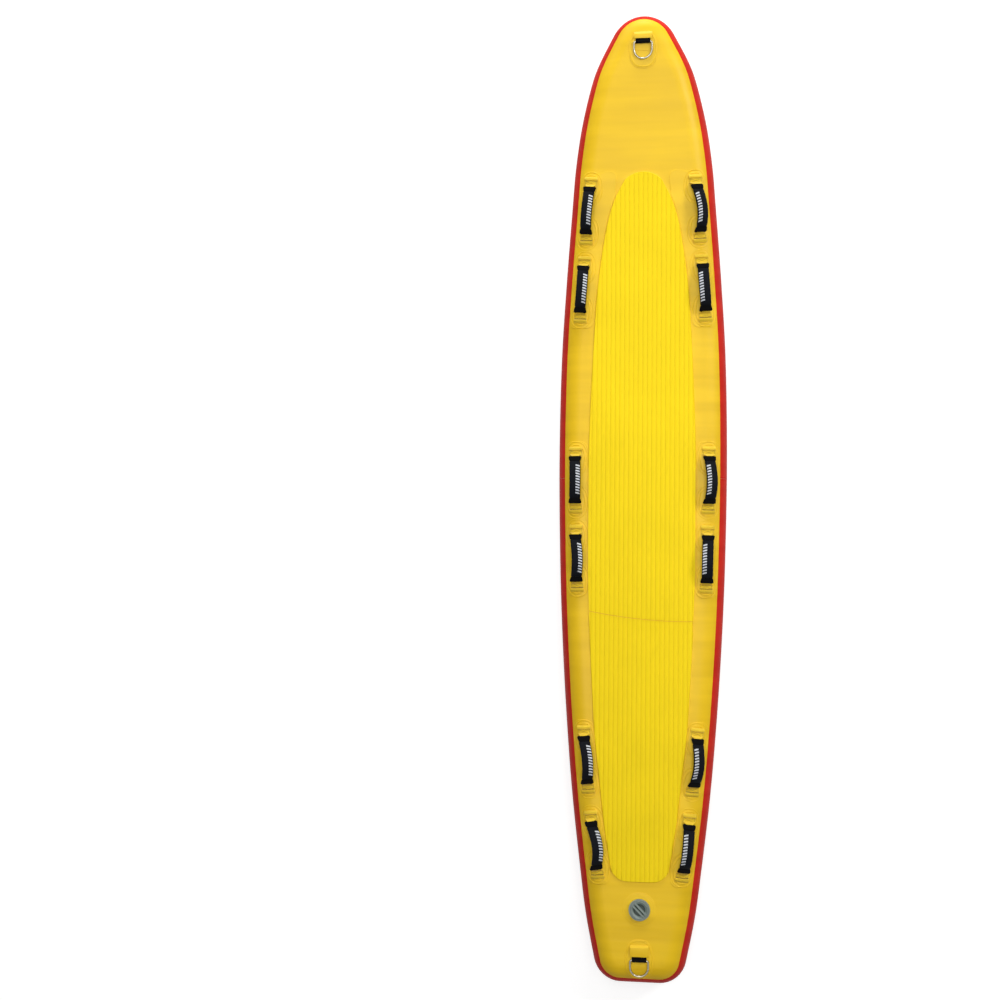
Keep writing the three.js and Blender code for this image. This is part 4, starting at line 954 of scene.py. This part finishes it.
def print_mark(handle, mark):
    """A plain slanted dash printed on the half of the sleeve that faces the pad."""
    start = (mark - MARKS / 2) * MARK_PITCH
    proud = 0.45
    rows = []
    for step in np.linspace(0, 1, 9):
        angle = math.radians(38 + 49 * step)
        middle = start + MARK_SLANT * step
        row = []
        for l in (middle, middle + MARK_WIDTH):
            width, height = sleeve_size(l)
            across = (width / 2 + proud) * math.cos(angle) ** SLEEVE_FULLNESS
            up = (height / 2 + proud) * math.sin(angle) ** SLEEVE_FULLNESS
            row.append((-handle.side * across, l, arch_height(l) + up))
        rows.append(row)
    rows = np.array(rows)
    below = rows - (0, 0, 0.3)
    corners, faces = loft([[top[0], top[1], low[1], low[0]] for top, low in zip(rows, below)])
    return handle.in_arch(corners), faces, "white print"


def build_strap(handle):
    """Webbing, flat on its two patches, that lifts, folds to half its width and runs through the grip."""
    low = PATCH_TOP + CLEAR
    foot = WEBBING_HALF_SPAN - 25.0
    # Stations from one end of the webbing to its middle, close together over the fold in its foot
    half = np.concatenate([
        WEBBING_HALF_SPAN - np.array([0, 0.8, 2.0, 3.5, 5.0, 6.0, 8.0, 11, 12.2, 13.2, 15, 20]),
        np.linspace(foot, GRIP_HALF_LENGTH, 7), np.linspace(GRIP_HALF_LENGTH - 6, 6, 8),
    ])
    stations = np.concatenate([half, -half[::-1]])
    columns = np.array([-1, -0.97, -0.8, -0.6, -0.4, -0.2, 0, 0.2, 0.4, 0.6, 0.8, 0.97, 1])
    rounding = np.where(np.abs(columns) == 1, 0.45, np.where(np.abs(columns) > 0.9, 0.92, 1.0))
    rows, cloth = [], []
    for l in stations:
        share = np.clip((foot - abs(l)) / (foot - GRIP_HALF_LENGTH), 0, 1)
        share = share * share * (3 - 2 * share)
        width = WEBBING_WIDTH + (FOLDED_WIDTH - WEBBING_WIDTH) * share
        thickness = WEBBING_THICKNESS * (1 + share)
        if abs(l) == WEBBING_HALF_SPAN:
            thickness *= 0.6
        from_end = WEBBING_HALF_SPAN - abs(l)
        fold = FOLD_HEIGHT * min(1.0, from_end / 6.0) * min(1.0, max(0.0, (FOLD_LENGTH - from_end) / 2.2))
        w = columns * width / 2
        middle = low + WEBBING_THICKNESS * (1 + share) / 2
        half_thick = thickness / 2 * rounding
        flat = np.stack([w, np.full(len(w), l)], axis=1)
        loop = []
        for sign in (1, -1):
            on_patch = handle.on_deck(flat, middle + sign * half_thick + (fold * rounding if sign > 0 else 0))
            lift = arch_height(l) + sign * half_thick
            in_arch = handle.in_arch(np.stack([w, np.full(len(w), l), lift], axis=1))
            loop.append(on_patch + (in_arch - on_patch) * share)
        rows.append(np.vstack([loop[0], loop[1][::-1]]))
        cloth.extend([(k, l) for k in w] + [(k, l) for k in w[::-1]])
    corners, faces = loft(rows)
    strap = piece_from(f"strap_{handle.name}", [(corners, faces, "webbing", cloth)], None,
                       (f"handle_strap_{handle.name}",))
    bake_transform(strap)


def strap_stitches(handle):
    """The paths of the box and cross stitches on the feet of one strap."""
    half = WEBBING_WIDTH / 2 - 3.5
    paths = []
    for end in (1, -1):
        near, far = end * (GRIP_HALF_LENGTH + 5), end * (WEBBING_HALF_SPAN - 14.5)
        corners = [(-half, near), (half, near), (half, far), (-half, far), (-half, near)]
        lines = [corners, [(-half, near), (half, far)], [(half, near), (-half, far)]]
        for line in lines:
            dense = np.vstack([np.linspace(a, b, 7)[:-1] for a, b in zip(line, line[1:])] + [[line[-1]]])
            paths.append(handle.on_deck(dense, STITCH_HEIGHT))
    return paths


def panel_outline(pair_middle, spacing):
    """A panel's outline under two handles: its reach past the flat panel's edge and its place along."""
    half = spacing / 2 + PANEL_REACH
    aft, fore = pair_middle - half, pair_middle + half
    outer = RAIL_RADIUS * math.radians(90 - BAND_DEGREES) - 6.0
    corner = PANEL_CORNER
    y = np.concatenate([
        aft + corner * (1 - np.cos(np.linspace(0, math.pi / 2, 7)))[:-1],
        np.arange(aft + corner, fore - corner, 10.0),
        fore - corner + corner * np.sin(np.linspace(0, math.pi / 2, 7)),
    ])
    past = np.maximum(0, corner - np.minimum(y - aft, fore - y))
    round_in = corner - np.sqrt(np.maximum(0, corner ** 2 - past ** 2))
    pad_side = half_width(PAD_EDGE, np.clip(y, PAD_TAIL + 42, PAD_TIP))
    inner = np.maximum(pad_side + 4.0 - half_width(PANEL_EDGE, y), -72.0)
    starboard = np.stack([outer - round_in, y], axis=1)
    port = np.stack([inner + round_in, y], axis=1)
    outline = np.vstack([starboard, port[::-1]])
    keep = np.linalg.norm(outline - np.roll(outline, 1, axis=0), axis=1) > 0.05
    return outline[keep]


def build_handles():
    """Three panels on each side, each with four round patches, two straps and two grips."""
    stitches, shadow_stitch_rows = [], []
    for side, sign in (("starboard", 1), ("port", -1)):
        number = 0
        for pair, (middle, spacing) in HANDLE_PAIRS.items():

            def on_panel(flat, height, sign=sign):
                reach = half_width(PANEL_EDGE, flat[:, 1]) + flat[:, 0]
                return over_hull(np.stack([sign * reach, flat[:, 1]], axis=1), height)

            outline = panel_outline(middle, spacing)
            parts = [
                cut_sheet(outline, on_panel, 0.1, PANEL_TOP, "patch fabric", cells=(5.0, 14.0)),
                pressed_bead(inset(outline, 3.0), on_panel, PANEL_TOP, BEAD_WIDTH, 0.25),
            ]
            for station in (middle + spacing / 2, middle - spacing / 2):
                number += 1
                handle = Handle(side, number, station)
                for centre in (PATCH_SPACING / 2, -PATCH_SPACING / 2):
                    patch = round_patch(PATCH_LENGTH, PATCH_WIDTH, 0.8, centre)
                    around = round_patch(PATCH_LENGTH + 13, PATCH_WIDTH + 13, 0.85, centre)
                    place = handle.on_deck
                    parts += [
                        cut_sheet(patch, place, PANEL_TOP - 0.4, PATCH_TOP, "patch fabric", cells=(5.0, 8.0)),
                        pressed_bead(inset(patch, 4.0), place, PATCH_TOP, 4.0, 1.0),
                        pressed_bead(around, place, PANEL_TOP, BEAD_WIDTH, 0.9),
                    ]
                build_grip(handle)
                build_strap(handle)
                stitches.extend(strap_stitches(handle))
                # Each aft foot gets a row of dark brown stitches at its fold's inner step: painted shadow,
                # standing for the shadow line there
                tack = -(WEBBING_HALF_SPAN - 14.2)
                across = np.linspace((-WEBBING_WIDTH / 2 + 2, tack), (WEBBING_WIDTH / 2 - 2, tack), 7)
                shadow_stitch_rows.append(handle.on_deck(across, STITCH_HEIGHT))
            piece_from(f"doubler_{side}_{pair}", parts, "board", (f"handle_panel_{side}_{pair}",))
    grown("handle_stitching", STITCHES, stitches, False, "thread", "board",
          pitch=3.4, length=3.2, thread=1.2)
    grown("handle_painted_shadow_stitches", STITCHES, shadow_stitch_rows, False, "painted shadow thread", "board",
          pitch=1.6, length=2.2, thread=2.4)


# Rings at the nose and tail

def build_ring(end):
    """A round patch, a fold of webbing under a cover, and the D-ring in the fold."""
    station, droop, patch_aft, patch_ahead, cover_ahead = RINGS[end]
    here, ahead = over_hull([(0, station), (0, min(station + 26, PANEL_HALF_LENGTH))], 0)
    slope = math.atan2(ahead[2] - here[2], ahead[1] - here[1])
    along = (0, math.cos(slope), math.sin(slope))
    upright = (0, -math.sin(slope), math.cos(slope))
    axes = np.array([(1, 0, 0), along, upright])
    wire, loop_wall = 3.0, 2.2
    centre = here + (3 * CLEAR + FABRIC + loop_wall + 0.5 + wire) * axes[2]

    def from_bar(points):
        return centre + np.asarray(points, float) @ axes

    def across(plan, x):
        return from_bar(np.stack([np.full(len(plan), x), plan[:, 0], plan[:, 1]], axis=1))

    middle = station + (patch_ahead - patch_aft) / 2
    outline = round_patch(patch_ahead + patch_aft, RING_PATCH_WIDTH, 0.7, middle)
    patch = cut_sheet(outline, over_hull, CLEAR, RING_PATCH_TOP, "patch fabric")
    bead = pressed_bead(inset(outline, 5.0), over_hull, RING_PATCH_TOP, 4.0, 1.0)
    strip = np.array([(x, station + y) for x, y in ((-23, -28), (23, -28), (23, -3), (-23, -3))], float)
    under = cut_sheet(strip, over_hull, 1.5, 3.0, "patch fabric", 0.4, (5.0, 5.0))
    piece_from(f"{end}_patch", [patch, bead, under], "board", (f"{end}_ring_patch",))

    # The fold is drawn from the side, with the wire's bore in it, and carried across
    outer, band_top = 5.7, -1.3
    tail_end = cover_ahead - 9
    fold = [(tail_end, -outer), (tail_end, band_top), (outer, band_top)]
    fold += [(outer * math.cos(a), outer * math.sin(a)) for a in np.radians(np.linspace(45, 270, 16))]
    bore = arc((0, 0), 3.5, 0, 360, 24)[:-1]
    half_fold = 24.0
    corners, faces, plan = plate_with_hole(fold, bore, (-half_fold, half_fold), across)
    run = np.tile(plan.sum(1), 2)
    cloth = np.stack([np.repeat([-half_fold, half_fold], len(plan)), run], axis=1)
    piece_from(f"{end}_fold", [(corners, faces, "black webbing", cloth)], "board", (f"{end}_ring_webbing",))

    # The cover runs over the band's tail, then steps down to the patch; its side edges are thinner
    top = band_top + CLEAR
    profile = [
        (11.0, top), (tail_end + 0.3, top), (tail_end + 1.6, -outer), (cover_ahead, -outer),
        (cover_ahead, 1.4 - outer), (tail_end + 1.2, top + 1.2), (11.0, top + 1.2),
    ]
    profile = filleted(profile, 0.5, 2)
    rows = []
    for x in (-30.0, -29.4, -20, -10, 0, 10, 20, 29.4, 30.0):
        drop = 0.25 if abs(x) == 30 else 0.0
        rows.append(across(profile - np.outer(profile[:, 1] > top, (0, drop)), x))
    piece_from(f"{end}_cover", [(*loft(rows), "patch fabric")], "board", (f"{end}_ring_cover",))

    half, depth, corner = RING_EYE[0] / 2 + wire, RING_EYE[1] + wire, 6
    path = np.vstack([
        arc((0, half - depth), half, 180, 360, 36), arc((half - corner, -corner), corner, 0, 90, 8),
        arc((corner - half, -corner), corner, 90, 180, 8)[:-1],
    ])
    turn = math.radians(droop)
    ring = np.stack([path[:, 0], path[:, 1] * math.cos(turn), path[:, 1] * math.sin(turn)], axis=1)
    grown(f"{end}_dee", WIRE, [from_bar(ring)], True, "stainless", f"{end}_ring", (f"{end}_ring",),
          radius=wire, sides=20)


# Valve

def build_valve():
    """The inflation valve: patch, body, cap with two bars, tether, seals, stem, diaphragm and spring."""
    at = np.array([0.0, VALVE_STATION, DECK_HEIGHT])

    def turn(name, profile, finish, body, node, sides=72, radius=0.35):
        return piece_from(name, [turned(profile, at, finish, sides, radius)], body, (node,))

    patch = [
        (VALVE_BORE, CLEAR), (55, CLEAR), (55, 0.9), (50, 0.95), (49.2, 1.3), (47.2, 1.3), (46.4, 0.95),
        (45, 1.5), (VALVE_BORE, 1.5),
    ]
    turn("valve_doubler", patch, "patch fabric", "board", "valve_patch", 96)
    flange = [(VALVE_BORE, 1.8), (33, 1.8), (33, 3.2), (VALVE_BORE, 3.2)]
    turn("flange_seal", flange, "rubber", "board", "valve_flange_seal")

    body = [
        (0, -27), (19, -27), (19, -36), (24, -36), (24, 3.5), (35, 3.5), (35, 11.5), (30, 11.5), (30, 6.5),
        (19, 6.5), (19, -24), (0, -24),
    ]
    housing = turn("valve_housing", body, "grey plastic", "board", "valve_body", 96, 0.8)
    for angle in np.radians(range(0, 360, 90)):
        port = at + (9.55 * math.cos(angle), 9.55 * math.sin(angle), 0)
        drilled(housing, port, 3.6, -30, -21, "grey plastic", 24)
    drilled(housing, at, 3.3, -30, -21, "grey plastic", 24)
    # The notch in the rim lets the tether out
    notch = [[(-2.8, 20.5, z), (2.8, 20.5, z), (2.8, 55, z), (-2.8, 55, z)] for z in (6.5, 16)]
    without(housing, piece_from("notch", [(*loft(notch + at), "grey plastic")], None))

    nut = [(VALVE_BORE, -10.5), (33, -10.5), (33, -1.5), (VALVE_BORE, -1.5)]
    turn("back_nut", nut, "grey plastic", "board", "valve_back_nut")

    floor, flap_thickness = -27, 1.5
    disc_top = floor - 2 * CLEAR - flap_thickness
    stem = [
        (0, disc_top - 2), (15.5, disc_top - 2), (15.5, disc_top), (3, disc_top), (3, -7), (7, -7), (7, -4),
        (0, -4),
    ]
    turn("push_stem", stem, "grey plastic", "valve_stem", "valve_stem", 48)
    low, high = disc_top + CLEAR, disc_top + CLEAR + flap_thickness
    flap = [(3.3, low), (15.5, low), (15.5, high), (3.3, high)]
    turn("flap", flap, "rubber", "valve_stem", "valve_diaphragm", 48)

    # The spring's coils lie closer at its ends
    wire, coil, coils = 0.6, 5.0, 4
    low, high = -24 + CLEAR + wire, -7 - CLEAR - wire
    turns = np.linspace(0, coils, 97)
    rise = np.cumsum(0.15 + np.clip(np.minimum(turns, coils - turns) / 0.5, 0, 1))
    rise = low + (high - low) * (rise - rise[0]) / (rise[-1] - rise[0])
    angles = 2 * math.pi * turns
    path = np.stack([coil * np.cos(angles), coil * np.sin(angles), rise], axis=1) + at
    spring = grown("return_spring", WIRE, [path], False, "stainless", None, ("valve_spring",),
                   radius=wire, sides=8)
    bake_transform(spring)

    cap = [
        (0, 3.3), (17.6, 3.3), (17.6, 8.3), (29, 8.3), (29, 13.6), (28, 14.9), (26.4, 14.9), (24.5, 12.6),
        (19.5, 9.4), (15, 5.6), (0, 4.8),
    ]
    # A thin darker lining on the bowl's floor is painted shade, standing for the depth of the bowl
    painted_shade_lining = [(0, 4.9), (14.8, 5.6), (19.8, 9.7), (19.6, 10.2), (14.6, 6.2), (0, 5.4)]
    parts = [turned(cap, at, "grey plastic", 96, 0.5), turned(painted_shade_lining, at, "shaded plastic", 96, 0.2)]
    parts += [cap_bar(side, at) for side in (-1, 1)]
    piece_from("valve_lid", parts, "valve_cap", ("valve_cap",))
    seal = [(18.15, 5.3), (18.85, 5.3), (18.85, 6.2), (18.15, 6.2)]
    turn("lid_seal", seal, "rubber", "valve_cap_seal", "valve_cap_seal", 96, 0.3)
    tether = piece_from("lid_tether", [tether_part(at)], None, ("valve_cap_tether",))
    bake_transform(tether)


def cap_bar(side, at):
    """One of the two bars that a hand turns the cap by, with round ends and a soft top edge."""
    half, offset = 2.6, 5.2
    turn = math.radians(CAP_BAR_TURN)
    # Each level has its height, its reach and how far its edge is drawn in; the foot stays inside the plug
    levels = (
        (4.6, 13.0, 0.0), (8.6, 15.6, 0.0), (9.2, 25.2, 0.0), (16.2, 25.2, 0.0), (17.0, 25.2, 0.3),
        (17.3, 25.2, 0.9),
    )
    rows = []
    for height, reach, shrink in levels:
        loop = inset(stadium(2 * reach, 2 * half, 8, lengthwise=False), shrink) + (0, side * offset)
        x = loop[:, 0] * math.cos(turn) - loop[:, 1] * math.sin(turn)
        y = loop[:, 0] * math.sin(turn) + loop[:, 1] * math.cos(turn)
        rows.append(np.stack([x, y, np.full(len(loop), height)], axis=1))
    corners, faces = loft(rows)
    return corners + at, faces, "grey plastic"


def tether_part(at):
    """The cap's tether: an eye round the plug, with a short strap to the rim."""
    outer, half, rim = 26.0, 2.5, 35.0
    neck = math.degrees(math.asin(half / outer))
    eye = arc((0, 0), outer, 90 + neck, 450 - neck, 60)
    strap = np.stack([np.full(7, half), np.linspace(outer, rim, 7)], axis=1)
    outline = np.vstack([eye, strap[1:], strap[::-1][:-1] * (-1, 1)])
    hole = arc((0, 0), 20.5, 0, 360, 60)[:-1]

    def place(plan, z):
        return np.column_stack([plan, np.full(len(plan), z)]) + at

    corners, faces, _ = plate_with_hole(outline, hole, (6.8, 8.0), place)
    return corners, faces, "grey plastic"


# Fin box

def stadium(length, width, count=16, lengthwise=True):
    """An outline with two straight sides and round ends, counterclockwise."""
    radius = width / 2
    reach = length / 2 - radius
    if lengthwise:
        return np.vstack([arc((0, reach), radius, 0, 180, count), arc((0, -reach), radius, 180, 360, count)])
    return np.vstack([arc((reach, 0), radius, -90, 90, count), arc((-reach, 0), radius, 90, 270, count)])


def build_fin_box():
    """The fin box with its slot and track, and the sloping patch that holds it."""
    slot, box, patch = 5.0, 25.5, 55.0
    slot_length, box_length, patch_length = 188.0, 221.0, 248.0

    def level(length, half, height):
        loop = stadium(length, 2 * half)
        return np.column_stack([loop, np.full(len(loop), height)]) + (0.0, FIN_BOX_STATION, 0.0)

    first, last = (box, 17.7), (slot, 15)
    profile = [first, (box, 0), (slot, 0), (slot, 9), (7.5, 9), (7.5, 13), (slot, 13), last]
    # Near the slot each level keeps the slot's own round ends; further out they spread to the box's
    rows = []
    for half, height in np.vstack([first, filleted(profile, 0.8, 3)[4:-4], last]):
        length = slot_length + 2 * (half - slot)
        if half >= 8:
            length = slot_length + (box_length - slot_length) * np.clip((half - slot) / (box - slot), 0, 1)
        rows.append(level(length, half, height))
    socket = piece_from("fin_socket", [(*loft(rows), "black plastic")], "board", ("fin_box",))
    drilled(socket, (0, FIN_BOX_STATION + 86, 0), 8, -4, 13, "black plastic", 48, 0.1)

    edge = box + CLEAR
    slope = [
        (edge, 17.7), (patch, 17.7), (patch, 16.6), (54, 16.0), (29.2, 6.2), (28.4, 5.6), (27.2, 5.0),
        (edge, 5.4), (edge, 11.7),
    ]
    inner = box_length + 2 * CLEAR
    rows = [
        level(inner + (patch_length - inner) * (half - edge) / (patch - edge), half, height)
        for half, height in slope
    ]
    doubler = (*loft(rows, closed=True), "patch fabric")
    piece_from("fin_doubler", [doubler], "board", ("fin_box_patch",))


# Prints

def build_underside_print():
    """A row of plain red chevrons printed on the bottom."""
    half, rise, band = 110.0, 70.0, 62.0
    parts = []
    for middle in 960.0 - 190.0 * np.arange(11):
        low, high = middle - rise / 2, middle + rise / 2
        outline = np.array([
            (0, low), (half, high), (half, high + band), (0, low + band), (-half, high + band), (-half, high),
        ])
        dense = np.vstack([np.linspace(outline[i], outline[j], 9)[:-1] for i, j in loop_edges(len(outline))])
        parts.append(cut_sheet(dense, under_hull, -0.2, 0.15, "red print", 0.05, (20.0, 12.0)))
    piece_from("bottom_print", parts, "board")


build_hull()
build_pad()
build_handles()
for ring_end in RINGS:
    build_ring(ring_end)
build_valve()
build_fin_box()
build_underside_print()

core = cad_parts["drop_stitch_core"]
core.data.materials.clear()
core.data.materials.append(core_yarns())


# Studio

def studio_floor():
    """A wide pale floor that takes the shadow and turns white far from the board."""
    mesh = bpy.data.meshes.new("floor")
    reach = 14.0
    corners = [(-reach, -reach, 0), (reach, -reach, 0), (reach, reach, 0), (-reach, reach, 0)]
    mesh.from_pydata(corners, [], [(0, 1, 2, 3)])
    floor = bpy.data.objects.new("floor", mesh)
    bpy.context.scene.collection.objects.link(floor)
    material, tree, shader = new_material(
        "painted_floor", Base_Color=linear("#B3B3B3"), Roughness=0.95, Specular_IOR_Level=0.1)
    seen = add_node(tree, "ShaderNodeLightPath").outputs
    direct = add_node(tree, "ShaderNodeMath", {
        0: seen["Is Camera Ray"], 1: seen["Is Glossy Ray"]}, operation="MAXIMUM")
    place = add_node(tree, "ShaderNodeTexCoord").outputs["Object"]
    away = add_node(tree, "ShaderNodeVectorMath", {0: place}, operation="LENGTH")
    level = add_node(tree, "ShaderNodeMapRange", {
        "Value": away.outputs["Value"], "From Min": 2.5, "From Max": 6.0, "To Min": 0.75, "To Max": 1.0})
    lift = add_node(tree, "ShaderNodeMath", {0: direct, 1: level}, operation="MULTIPLY")
    glow = add_node(tree, "ShaderNodeEmission", {"Color": (1, 1, 1, 1), "Strength": lift})
    both = add_node(tree, "ShaderNodeAddShader", {0: shader, 1: glow})
    tree.links.new(both.outputs[0], tree.nodes["Material Output"].inputs["Surface"])
    mesh.materials.append(material)


def area_lamp(name, place, target, size, power):
    """A soft white square lamp that faces a place."""
    lamp = bpy.data.lights.new(name, "AREA")
    lamp.size = size
    lamp.energy = power
    holder = bpy.data.objects.new(name, lamp)
    bpy.context.scene.collection.objects.link(holder)
    holder.location = place
    holder.rotation_euler = (Vector(target) - Vector(place)).to_track_quat("-Z", "Y").to_euler()


def build_studio():
    """The floor, the lamps, the pale world and the camera over the deck."""
    studio_floor()
    area_lamp("nose_key", (0.0, 6.1, 2.3), (0.0, 0.2, 0.1), 1.4, 160)
    area_lamp("starboard_key", (4.1, 2.4, 4.3), (0.0, 0.2, 0.1), 1.4, 158)
    area_lamp("bow_fill", (-1.6, 3.2, 2.0), (0.0, 0.9, 0.2), 1.2, 26)
    area_lamp("top", (0.0, 0.0, 6.0), (0.0, 0.0, 0.1), 4.0, 186)

    # The world lights the board a little, and is plain white where it is seen
    world = bpy.data.worlds.new("studio")
    world.use_nodes = True
    bpy.context.scene.world = world
    tree = world.node_tree
    ground = tree.nodes["Background"]
    ground.inputs["Color"].default_value = (1, 1, 1, 1)
    ground.inputs["Strength"].default_value = 0.05
    seen = add_node(tree, "ShaderNodeLightPath").outputs
    white = add_node(tree, "ShaderNodeBackground", {"Color": (1, 1, 1, 1), "Strength": 1.0})
    direct = add_node(tree, "ShaderNodeMath", {
        0: seen["Is Camera Ray"], 1: seen["Is Transmission Ray"]}, operation="MAXIMUM")
    shown = add_node(tree, "ShaderNodeMath", {0: direct, 1: seen["Is Glossy Ray"]}, operation="MAXIMUM")
    choice = add_node(tree, "ShaderNodeMixShader", {0: shown, 1: ground, 2: white})
    tree.links.new(choice.outputs[0], tree.nodes["World Output"].inputs["Surface"])

    camera = bpy.data.cameras.new("camera")
    camera.lens = 50
    camera.sensor_width = 36
    holder = bpy.data.objects.new("camera", camera)
    bpy.context.scene.collection.objects.link(holder)
    holder.location = (0.15, -0.2427, 4.7981)
    holder.rotation_euler = [math.radians(turn) for turn in (2.965, 7.657, 0.62)]
    bpy.context.scene.camera = holder
    bpy.context.scene.view_settings.view_transform = "Standard"


build_studio()
